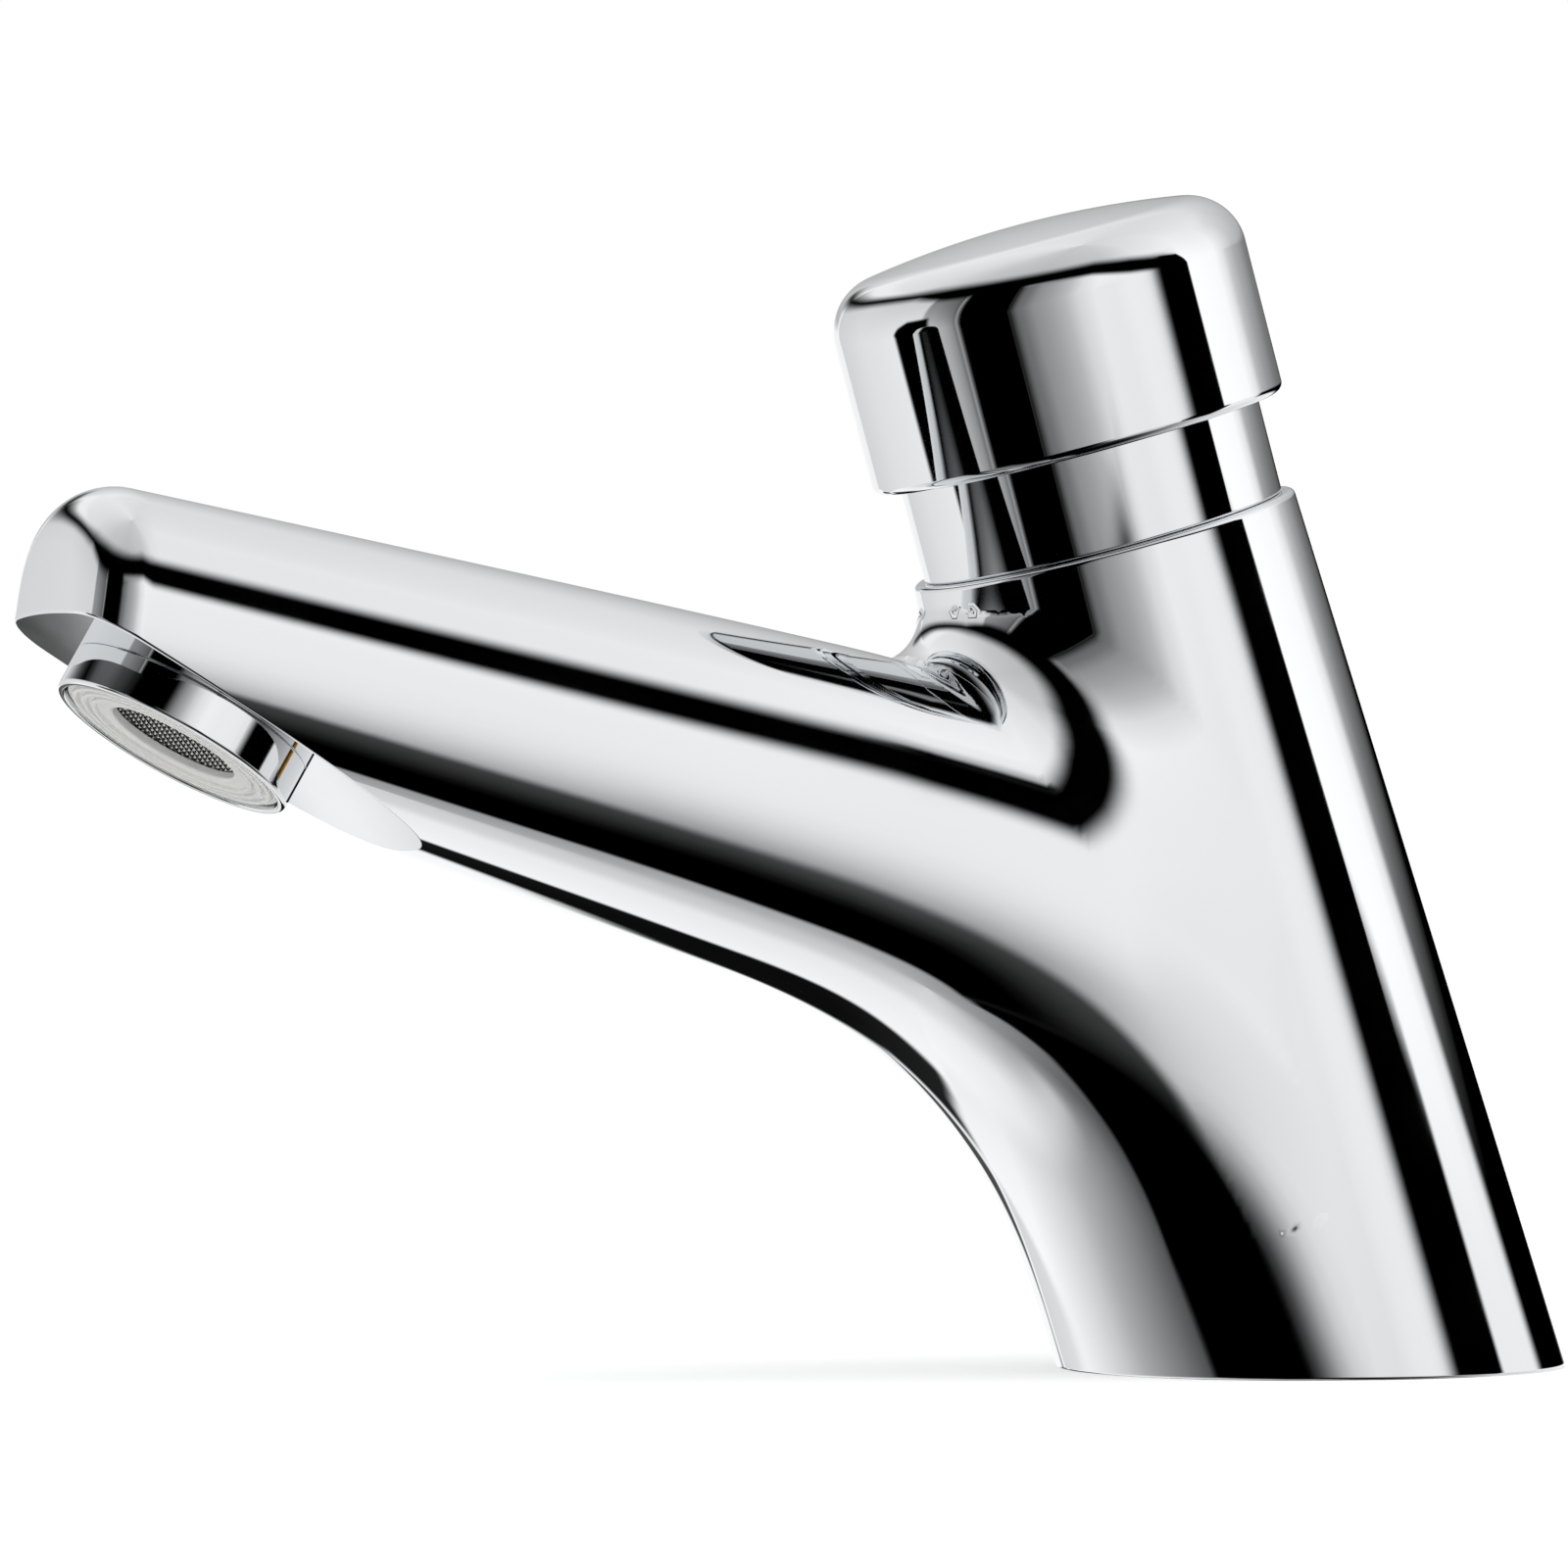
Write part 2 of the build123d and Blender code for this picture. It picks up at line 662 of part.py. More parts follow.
with BuildPart() as button:
    with BuildSketch(column_section) as button_profile:
        with BuildLine():
            ThreePointArc(
                (0, crown_height(0)),
                (button_radius / 2, crown_height(button_radius / 2)),
                (button_radius, crown_height(button_radius)),
            )
            Polyline(
                (button_radius, crown_height(button_radius)),
                (button_radius, button_low),
                (0, button_low),
                (0, crown_height(0)),
            )
        make_face()
        outer_corners = button_profile.vertices().group_by(Axis.X)[-1].sort_by(Axis.Y)
        fillet(outer_corners[-1], button_shoulder_radius)
        outer_corners = button_profile.vertices().group_by(Axis.Y)[0].sort_by(Axis.X)
        fillet(outer_corners[-1], button_edge_round)
    revolve(axis=column_axis)
    with BuildSketch(column_section) as bore_profile:
        with BuildLine():
            ThreePointArc(
                (0, crown_height(0, button_wall)),
                (crown_bore / 2, crown_height(crown_bore / 2, button_wall)),
                (crown_bore, crown_height(crown_bore, button_wall)),
            )
            Polyline(
                (crown_bore, crown_height(crown_bore, button_wall)),
                (crown_bore, carrier_high),
                (0, carrier_high),
                (0, crown_height(0, button_wall)),
            )
        make_face()
        inner_corners = bore_profile.vertices().group_by(Axis.X)[-1].sort_by(Axis.Y)
        fillet(inner_corners[-1], button_shoulder_radius - button_wall)
        step(0, button_thread_radius, button_low, carrier_high)
        step(0, button_bore, button_low - overrun, carrier_low)
    revolve(axis=column_axis, mode=Mode.SUBTRACT)

# Carrier: the threaded disc that joins the button to the stem
with BuildPart() as carrier:
    with BuildSketch(column_section):
        hub_bore = stem_radius + thread_clearance
        step(hub_bore, carrier_hub_radius, carrier_low - carrier_hub_length, carrier_low)
        step(stem_spindle_radius + thread_clearance, carrier_hub_radius, carrier_low, carrier_high)
        step(carrier_hub_radius, button_thread_radius - thread_clearance, carrier_low, carrier_high)
    revolve(axis=column_axis)

with BuildPart() as button_nut:
    with BuildSketch(column_plane.offset(carrier_high)):
        RegularPolygon(button_nut_across_flats / 2, 6, major_radius=False)
        Circle(stem_spindle_radius + thread_clearance, mode=Mode.SUBTRACT)
    extrude(amount=button_nut_thickness)

# Return spring: the end turns lie close, and each quarter turn is two tangent arcs
quarters = 4 * (spring_active_turns + 2)
spring_low = bonnet_floor_high + (spring_wire + seal_clearance) / 2 + seal_clearance
spring_high = carrier_low - (spring_wire + seal_clearance) / 2 - seal_clearance
quarter_turn = pi / 2
end_rate = (spring_wire + spring_end_gap) / (2 * pi)
opening_shares = []
for index in range(quarters + 1):
    from_end = min(index, quarters - index)
    opening_shares.append(min(max(from_end - closed_quarter_count, 0) / opening_quarter_count, 1))
open_quarters = sum(opening_shares)
closed_rise = end_rate * quarter_turn * (quarters - open_quarters)
open_rate = (spring_high - spring_low - closed_rise) / (quarter_turn * open_quarters)
spring_points = []
spring_tangents = []
spring_heights = [spring_low]
rates = [end_rate + (open_rate - end_rate) * share for share in opening_shares]
for index in range(quarters):
    spring_heights.append(spring_heights[-1] + (rates[index] + rates[index + 1]) / 2 * quarter_turn)
for index in range(quarters + 1):
    angle = index * quarter_turn
    local = Vector(spring_mean_radius * cos(angle), spring_mean_radius * sin(angle), spring_heights[index])
    spring_points.append(column_plane.from_local_coords(local))
    heading = Vector(-spring_mean_radius * sin(angle), spring_mean_radius * cos(angle), rates[index])
    heading = column_plane.from_local_coords(local + heading) - spring_points[-1]
    spring_tangents.append(heading.normalized())


def biarc_middle(start, finish, start_tangent, finish_tangent):
    """The point where two arcs meet that leave and arrive along the given tangents."""
    chord = finish - start
    both = start_tangent + finish_tangent
    spread = 2 * (1 - start_tangent.dot(finish_tangent))
    forward = chord.dot(both)
    reach = (-forward + (forward ** 2 + spread * chord.dot(chord)) ** 0.5) / spread
    return (start + finish + (start_tangent - finish_tangent) * reach) * 0.5


with BuildPart() as return_spring:
    with BuildLine() as spring_path:
        for index in range(quarters):
            start = spring_points[index]
            finish = spring_points[index + 1]
            middle = biarc_middle(start, finish, spring_tangents[index], spring_tangents[index + 1])
            first = TangentArc(start, middle, tangent=spring_tangents[index])
            TangentArc(middle, finish, tangent=first % 1)
    with BuildSketch(Plane(origin=spring_points[0], z_dir=spring_tangents[0])):
        RegularPolygon(spring_wire / 2, section_sides)
    sweep(path=spring_path.wires()[0])

# Least gap between the spring's turns, measured on points along its wire
quarter_sample_count = 12
wire_points = []
for index in range(quarters * quarter_sample_count + 1):
    quarter = min(index // quarter_sample_count, quarters - 1)
    share = index / quarter_sample_count - quarter
    rise = (rates[quarter] * share + (rates[quarter + 1] - rates[quarter]) * share ** 2 / 2) * quarter_turn
    angle = (quarter + share) * quarter_turn
    height = spring_heights[quarter] + rise
    wire_points.append(Vector(spring_mean_radius * cos(angle), spring_mean_radius * sin(angle), height))
half_turn_samples = 2 * quarter_sample_count
least_gap = spring_mean_radius
for index, point in enumerate(wire_points):
    for other in wire_points[index + half_turn_samples:]:
        least_gap = min(least_gap, (other - point).length - spring_wire)
print("least gap between the spring's turns, mm:", round(least_gap, 2))

# Heights of the washers and the backnut under the deck
rubber_high = -deck_thickness
steel_high = rubber_high - rubber_washer_thickness
backnut_high = steel_high - steel_washer_thickness
backnut_low = backnut_high - backnut_thickness

# Tail: a shank through the deck for the backnut, a relief, and a thinner threaded end for the supply
tail_high = tail_thread_depth - tail_seal_thickness
tail_low = tail_high - tail_length
shank_low = backnut_low - shank_below_backnut
relief_low = shank_low - tail_relief_width
with BuildPart() as tail:
    with BuildSketch(upright_section) as shank_profile:
        step(tail_bore_radius, shank_radius, shank_low, tail_high)
        chamfer(shank_profile.vertices().group_by(Axis.X)[-1], tail_chamfer)
    revolve(axis=Axis.Z)
    with BuildSketch(upright_section) as tail_profile:
        step(tail_bore_radius, tail_radius, tail_low, relief_low)
        tail_corners = tail_profile.vertices().group_by(Axis.X)[-1].sort_by(Axis.Y)
        chamfer(tail_corners[0], tail_chamfer)
        step(tail_bore_radius, tail_radius - tail_relief_depth, relief_low, shank_low)
    revolve(axis=Axis.Z)
    with BuildSketch(upright_section):
        recess_radius = strainer_flange_radius + thread_clearance
        step(0, recess_radius, tail_high - strainer_flange_thickness, tail_high)
    revolve(axis=Axis.Z, mode=Mode.SUBTRACT)

with BuildPart() as tail_seal:
    with BuildSketch(upright_section):
        step(tail_seal_bore, shank_radius, tail_high, tail_thread_depth)
    revolve(axis=Axis.Z)

strainer_radius = tail_bore_radius - sliding_gap
strainer_low = tail_high - strainer_length
with BuildPart() as strainer:
    with BuildSketch(upright_section):
        step(strainer_radius - strainer_wall, strainer_radius, strainer_low, tail_high)
        step(0, strainer_radius, strainer_low, strainer_low + strainer_wall)
        flange_low = tail_high - strainer_flange_thickness
        step(strainer_radius, strainer_flange_radius, flange_low, tail_high)
    revolve(axis=Axis.Z)
    slot_height = (strainer_low + strainer_wall + flange_low) / 2
    for index in range(strainer_slot_count):
        with BuildSketch(Plane.XZ.rotated((0, 0, 360 * index / strainer_slot_count))):
            with Locations((0, slot_height)):
                Rectangle(strainer_slot_width, strainer_slot_length)
        extrude(amount=strainer_radius + overrun, mode=Mode.SUBTRACT)

# Foot seal in its pocket, flush with the deck
with BuildPart() as foot_seal:
    with BuildSketch(upright_section):
        step(foot_seal_inner, foot_seal_outer, 0, foot_seal_depth - thread_clearance)
    revolve(axis=Axis.Z)

# Washers and backnut under the deck
shank_hole = shank_radius + thread_clearance
with BuildPart() as rubber_washer:
    with BuildSketch(upright_section):
        step(shank_hole, rubber_washer_radius, steel_high, rubber_high)
    revolve(axis=Axis.Z)

with BuildPart() as steel_washer:
    with BuildSketch(upright_section):
        step(shank_hole, steel_washer_radius, backnut_high, steel_high)
    revolve(axis=Axis.Z)

with BuildPart() as backnut:
    with BuildSketch(Plane.XY.offset(backnut_high)):
        RegularPolygon(backnut_across_flats / 2, 6, major_radius=False)
        Circle(shank_hole, mode=Mode.SUBTRACT)
    extrude(amount=-backnut_thickness)
    with BuildSketch(upright_section) as corner_profile:
        corner_radius = backnut_across_flats / 2 + backnut_chamfer
        step(0, corner_radius, backnut_low, backnut_high)
        chamfer(corner_profile.vertices().group_by(Axis.X)[-1], backnut_chamfer)
    revolve(axis=Axis.Z, mode=Mode.INTERSECT)

# Outlet: heights are measured outwards from the flat, along the stream
insert_high = aerator_stand - insert_face_inset
insert_step = aerator_stand - aerator_flange
insert_low = insert_high - insert_length
insert_flange_radius = aerator_radius - aerator_face_wall - thread_clearance
insert_radius = aerator_bore_radius - thread_clearance
with BuildPart() as aerator_housing:
    with BuildSketch(outlet_section) as housing_profile:
        step(aerator_bore_radius, aerator_thread_radius, -aerator_thread_length, 0)
        step(aerator_bore_radius, aerator_radius, 0, insert_step)
        step(aerator_radius - aerator_face_wall, aerator_radius, insert_step, aerator_stand)
        rim = housing_profile.vertices().group_by(Axis.X)[-1].sort_by(Axis.Y)[-1]
        fillet(rim, aerator_edge_round)
    revolve(axis=outlet_axis)

with BuildPart() as aerator_insert:
    with BuildSketch(outlet_section):
        mesh_pocket = mesh_radius + thread_clearance
        mesh_high = insert_high - mesh_recess
        step(mesh_pocket, insert_radius, insert_low, insert_high)
        step(insert_radius, insert_flange_radius, insert_step, insert_high)
        step(insert_hole_radius, mesh_pocket, mesh_high, insert_high)
        for share in insert_ridge_shares:
            ridge_inner = share * insert_flange_radius - insert_ridge_width / 2
            ridge_high = insert_high + insert_ridge_height
            step(ridge_inner, ridge_inner + insert_ridge_width, insert_high, ridge_high)
    revolve(axis=outlet_axis)

with BuildPart() as aerator_mesh:
    with BuildSketch(outlet_plane.offset(mesh_high)):
        Circle(mesh_radius)
    extrude(amount=-mesh_thickness)

with BuildPart() as flow_limiter:
    with BuildSketch(outlet_plane.offset(insert_low)):
        Circle(insert_radius)
        with PolarLocations(limiter_hole_circle, limiter_hole_count):
            Circle(limiter_hole_radius, mode=Mode.SUBTRACT)
    extrude(amount=-limiter_thickness)

with BuildPart() as aerator_washer:
    with BuildSketch(outlet_section):
        step(aerator_washer_bore, aerator_thread_radius, -socket_depth, -aerator_thread_length)
    revolve(axis=outlet_axis)

nodes = {
    "tap_body": body,
    "collar_ring": collar,
    "push_button": button,
    "button_carrier": carrier,
    "button_nut": button_nut,
    "stem": stem,
    "bonnet": bonnet,
    "bonnet_seal": bonnet_seal,
    "stem_seal": stem_seal,
    "return_spring": return_spring,
    "cartridge_sleeve": sleeve,
    "sleeve_seals": sleeve_seals,
    "timing_piston": piston,
    "piston_lip_seal": lip_seal,
    "piston_clip": piston_clip,
    "bleed_screw": bleed_screw,
    "valve_seat": valve_seat,
    "valve_washer": valve_washer,
    "valve_holder": valve_holder,
    "valve_screw": valve_screw,
    "threaded_tail": tail,
    "tail_seal": tail_seal,
    "inlet_strainer": strainer,
    "foot_seal": foot_seal,
    "rubber_washer": rubber_washer,
    "steel_washer": steel_washer,
    "backnut": backnut,
    "aerator_housing": aerator_housing,
    "aerator_insert": aerator_insert,
    "aerator_mesh": aerator_mesh,
    "flow_limiter": flow_limiter,
    "aerator_washer": aerator_washer,
}
os.makedirs("parts", exist_ok=True)
for name, piece in nodes.items():
    piece.part.label = name
    export_step(piece.part, f"parts/{name}.step")
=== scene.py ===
import itertools
import math
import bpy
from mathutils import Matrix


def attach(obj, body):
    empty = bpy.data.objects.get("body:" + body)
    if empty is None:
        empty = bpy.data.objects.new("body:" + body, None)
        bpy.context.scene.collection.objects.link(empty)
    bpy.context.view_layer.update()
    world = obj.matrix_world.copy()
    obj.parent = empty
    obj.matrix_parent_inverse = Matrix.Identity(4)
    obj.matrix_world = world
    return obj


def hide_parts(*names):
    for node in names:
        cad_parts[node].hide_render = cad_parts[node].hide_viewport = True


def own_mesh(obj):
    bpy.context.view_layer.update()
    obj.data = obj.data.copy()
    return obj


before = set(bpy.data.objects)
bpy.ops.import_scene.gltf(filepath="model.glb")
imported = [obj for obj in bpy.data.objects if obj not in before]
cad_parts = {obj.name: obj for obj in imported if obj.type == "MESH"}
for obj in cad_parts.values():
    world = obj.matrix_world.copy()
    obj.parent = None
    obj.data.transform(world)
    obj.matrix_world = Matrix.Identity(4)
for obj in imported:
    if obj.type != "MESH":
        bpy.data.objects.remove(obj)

from types import SimpleNamespace

import bmesh
import bpy
import numpy as np
from bpy.props import FloatProperty, PointerProperty, StringProperty
from bpy.types import Operator, Panel, PropertyGroup
from mathutils import Matrix, Vector
from mathutils.geometry import tessellate_polygon

bl_info = {
    "name": "Push Timed Tap",
    "version": (1, 0, 0),
    "blender": (4, 5, 0),
    "location": "3D View > Sidebar > Tap",
    "description": "Builds a chromed push timed basin tap round its solids",
    "category": "Add Mesh",
}

# The frame is in metres. Sizes are worked out in millimetres and turned to metres in the meshes.
MM = 0.001

# The column leans forward over the deck, and its working parts are turned round its axis.
LEAN = math.radians(16.5)
COLUMN_AXIS = np.array([0.0, -math.sin(LEAN), math.cos(LEAN)])

# The water leaves along this axis, from the flat under the nose.
OUTLET_TILT = math.radians(30.5)
OUTLET_AXIS = np.array([0.0, -math.sin(OUTLET_TILT), -math.cos(OUTLET_TILT)])

COLUMN_LINE = (np.zeros(3), COLUMN_AXIS)

# Points round the turned pieces that show most
FINE_TURN = 192


def length(name, default, description):
    """A size that the user can change, given here in millimetres."""
    return FloatProperty(name=name, description=description, default=default * MM, min=0.0,
                         unit="LENGTH", subtype="DISTANCE", precision=4)


def angle(name, default, description):
    """An angle that the user can change, given here in degrees."""
    return FloatProperty(name=name, description=description, default=math.radians(default),
                         unit="ROTATION", subtype="ANGLE")


class TapBodySizes(PropertyGroup):
    foot_radius: length("Foot Radius", 23.7, "Radius of the column at the deck")
    top_radius: length("Top Radius", 19.45, "Radius of the column under the collar")
    column_top: length("Column Top", 86.3, "Height of the column along its own axis")
    foot_front: length("Foot Front", 26.5, "How far the foot reaches in front of the axis")
    foot_line: length("Foot Line", 10.0, "Straight stretch of the underside above the deck")
    foot_slope: angle("Foot Slope", 70.4, "Slope of that stretch")
    sweep_radius: length("Sweep Radius", 47.0, "Radius of the underside between foot and spout")
    bend_ease: length("Bend Ease", 9.0, "Run over which the underside's bend starts and ends")
    underside_slope: angle("Underside Slope", 18.0, "Slope of the underside of the spout")
    top_front: length("Top Line Start", 53.4, "Place in front of the axis where the top height is given")
    top_height: length("Top Line Height", 71.4, "Height of the spout's top line there")
    top_slope: angle("Top Slope", 10.1, "Slope of the spout's top line")
    nose_reach: length("Nose Reach", 136.4, "How far the nose reaches in front of the axis")
    nose_height: length("Nose Height", 71.885, "Height at which that reach is measured")
    nose_lean: angle("Nose Lean", 8.0, "How far the nose leans back from upright")
    nose_crown: length("Nose Crown", 68.0, "Radius of the nose seen from above")
    nose_round: length("Nose Round", 6.0, "Round between the nose and the sides of the spout")
    foot_half_width: length("Foot Half Width", 22.6, "Half width of the spout's form at the foot")
    shin_half_width: length("Shin Half Width", 21.3, "Half width where the sweep starts")
    root_half_width: length("Root Half Width", 18.4, "Half width where the sweep ends")
    nose_half_width: length("Nose Half Width", 12.6, "Half width at the nose")
    upper_fullness: FloatProperty(name="Upper Fullness", default=2.4,
                                  description="Squareness of the spout's upper half, where 2 is an ellipse")
    elbow_depth: length("Elbow Depth", 45.0, "Greatest depth of the spout's form inside the column")
    valley_reach: length("Valley Reach", 9.5, "How far the valley's round reaches onto spout and column")
    cheek_reach: length("Cheek Reach", 9.0, "How far it reaches down the sides of the column")
    lip_round: length("Lip Round", 0.6, "Round on the column's top edge")
    widest_round: length("Widest Round", 45.0, "Radius that the rounds between column and spout stay under")
    polish_round: length("Polish Round", 0.35, "Round that polishing leaves on the other edges")
    skin_spacing: length("Skin Spacing", 0.8, "Spacing of the points on the cast skin")


class ButtonSizes(PropertyGroup):
    radius: length("Button Radius", 20.9, "Outside radius of the button")
    low: length("Button Foot", 96.0, "Where its lower edge is, along the column")
    top: length("Button Top", 118.2, "Where the middle of its crown is, along the column")
    crown: length("Crown Radius", 100.0, "Radius of the domed top")
    shoulder: length("Shoulder Round", 5.7, "Round between the wall and the crown")
    edge: length("Edge Round", 0.9, "Round on the lower edge")
    wall: length("Wall", 2.3, "Thickness of the crown")
    bore: length("Skirt Bore", 18.6, "Inside radius that slides over the collar")
    thread: length("Thread Radius", 17.9, "Inside radius of the carrier's thread")
    carrier_low: length("Carrier Foot", 107.0, "Where the carrier's seat is")
    carrier_high: length("Carrier Top", 110.5, "Where the thread ends")
    ledge: length("Ledge", 1.0, "Step in above the thread")


class CollarSizes(PropertyGroup):
    radius: length("Collar Radius", 18.25, "Outside radius of the collar")
    bore: length("Foot Bore", 15.1, "Inside radius at its foot, round the bonnet's thread")
    wide_bore: length("Wide Bore", 16.75, "Inside radius above the bonnet's flange")
    low: length("Collar Foot", 86.3, "Where it stands on the column")
    seat: length("Seat Height", 88.3, "Where the bonnet's flange holds it down")
    high: length("Collar Top", 99.0, "Where its upper edge is, along the column")


class SpringSizes(PropertyGroup):
    wire: length("Wire", 1.4, "Thickness of the spring's wire")
    radius: length("Coil Radius", 10.1, "Radius of the coil at the middle of the wire")
    low: length("Spring Foot", 84.04, "Where the ground foot of the spring is, along the column")
    high: length("Spring Top", 106.96, "Where its ground top is with the button up")
    travel: length("Travel", 7.0, "How far the button presses it down")
    ring_section: length("Ring Section", 0.9, "Radius of a sealing ring's round section")
    sleeve_ring: length("Sleeve Ring", 12.97, "Radius of the two rings on the sleeve")
    upper_ring: length("Upper Ring Height", 76.5, "Where the upper one is, along the column")
    lower_ring: length("Lower Ring Height", 50.5, "Where the lower one is")
    stem_ring: length("Stem Ring", 4.93, "Radius of the ring round the stem")
    stem_ring_height: length("Stem Ring Height", 87.2, "Where that ring is")


class TailSizes(PropertyGroup):
    shank_radius: length("Shank Radius", 12.0, "Radius over the shank's thread")
    shank_top: length("Shank Top", 7.5, "Height of the shank's top in the body")
    shank_foot: length("Shank Foot", 24.5, "How far the shank reaches under the deck")
    shank_pitch: length("Shank Pitch", 1.5, "Pitch of the shank's fine thread")
    shank_depth: length("Shank Thread Depth", 0.81, "Depth of that thread")
    neck: length("Neck Radius", 9.32, "Radius of the relief between the threads")
    end_radius: length("End Radius", 10.48, "Radius over the half-inch pipe thread")
    end_top: length("End Top", 26.0, "Where the pipe thread starts under the deck")
    end_foot: length("End Foot", 44.5, "Where the tail ends under the deck")
    end_pitch: length("End Pitch", 1.814, "Pitch of the half-inch pipe thread")
    end_depth: length("End Thread Depth", 1.16, "Depth of that thread")
    bore: length("Bore", 6.5, "Radius of the waterway")
    recess: length("Recess Radius", 8.5, "Radius of the recess for the strainer's flange")
    recess_depth: length("Recess Depth", 0.8, "Depth of that recess")


class OutletSizes(PropertyGroup):
    forward: length("Outlet Forward", 121.3, "How far in front of the axis the outlet is")
    height: length("Outlet Height", 64.195, "Height of the outlet's centre")
    radius: length("Ring Radius", 12.0, "Outside radius of the aerator ring")
    stand: length("Ring Stand", 4.2, "How far the ring stands out of the nose")
    socket: length("Socket Radius", 11.0, "Radius of the threaded socket in the nose")
    ring_bore: length("Ring Bore", 9.7, "Inside radius of the aerator ring")
    thread: length("Thread Radius", 10.9, "Radius over the ring's thread")
    thread_depth: length("Thread Depth", 0.4, "Depth of that thread")
    mouth: length("Mouth Radius", 11.2, "Radius of the pocket that holds the nozzle")
    seat: length("Seat Height", 1.4, "Where the nozzle's flange sits in the ring")
    flange: length("Flange Radius", 11.1, "Radius of the nozzle's flange")
    face: length("Face Height", 3.7, "Height of the nozzle's face over the flat")
    hole: length("Hole Radius", 6.4, "Radius of the hole that shows the gauze")
    gauze_height: length("Gauze Height", 2.65, "Height of the gauze over the flat")
    gauze_pitch: length("Gauze Pitch", 0.62, "Spacing of the gauze's wires")
    gauze_wire: length("Gauze Wire", 0.24, "Thickness of the gauze's wires")


class TapStage(PropertyGroup):
    backdrop: StringProperty(name="Backdrop", default="#FFFFFF",
                             description="sRGB hex colour of the floor and the background")
    card_distance: FloatProperty(name="Card Distance", default=3.0, unit="LENGTH", subtype="DISTANCE",
                                 description="How far away the furthest studio card stands")
    card_step: FloatProperty(name="Card Step", default=0.05, unit="LENGTH", subtype="DISTANCE",
                             description="How much nearer each next card stands")


def millimetres(group):
    """A property group's lengths in millimetres, and its other values as they are."""
    values = {}
    for name in group.__annotations__:
        value = getattr(group, name)
        is_length = group.bl_rna.properties[name].unit == "LENGTH"
        values[name] = value / MM if is_length else value
    return SimpleNamespace(**values)


def unit(vectors):
    return vectors / np.maximum(np.linalg.norm(vectors, axis=-1, keepdims=True), 1e-9)


def ease(share):
    """Runs from 0 to 1 with a soft start and end."""
    share = np.clip(share, 0, 1)
    return share * share * (3 - 2 * share)


def soft_limit(value, most, power):
    """Follows the value while it is small, and levels off softly under the most."""
    return value / (1 + (value / most) ** power) ** (1 / power)


def likeness(first_normal, second_normal):
    """The cosine between normals, kept off the two ends where a round has no size."""
    return np.clip((first_normal * second_normal).sum(1), -0.98, 0.9999)


def rolling_ball(first, first_normal, second, second_normal, radius, convex):
    """Joins two surfaces with the round that a ball of that radius leaves between them."""
    side = -1.0 if convex else 1.0
    turn = likeness(first_normal, second_normal)
    near_first = radius - side * first
    near_second = radius - side * second
    spread = 1 - turn * turn
    share_first = (near_first - near_second * turn) / spread
    share_second = (near_second - near_first * turn) / spread
    touching = (near_first > 0) & (near_second > 0) & (share_first > 0) & (share_second > 0)
    square = near_first ** 2 + near_second ** 2 - 2 * near_first * near_second * turn
    from_ball = np.sqrt(np.maximum(square, 0) / spread)
    first_wins = (first > second) if convex else (first < second)
    value = np.where(touching, side * (radius - from_ball), np.where(first_wins, first, second))
    normal = unit(share_first[:, None] * first_normal + share_second[:, None] * second_normal)
    plain = np.where(first_wins[:, None], first_normal, second_normal)
    return value, np.where(touching[:, None], normal, plain)


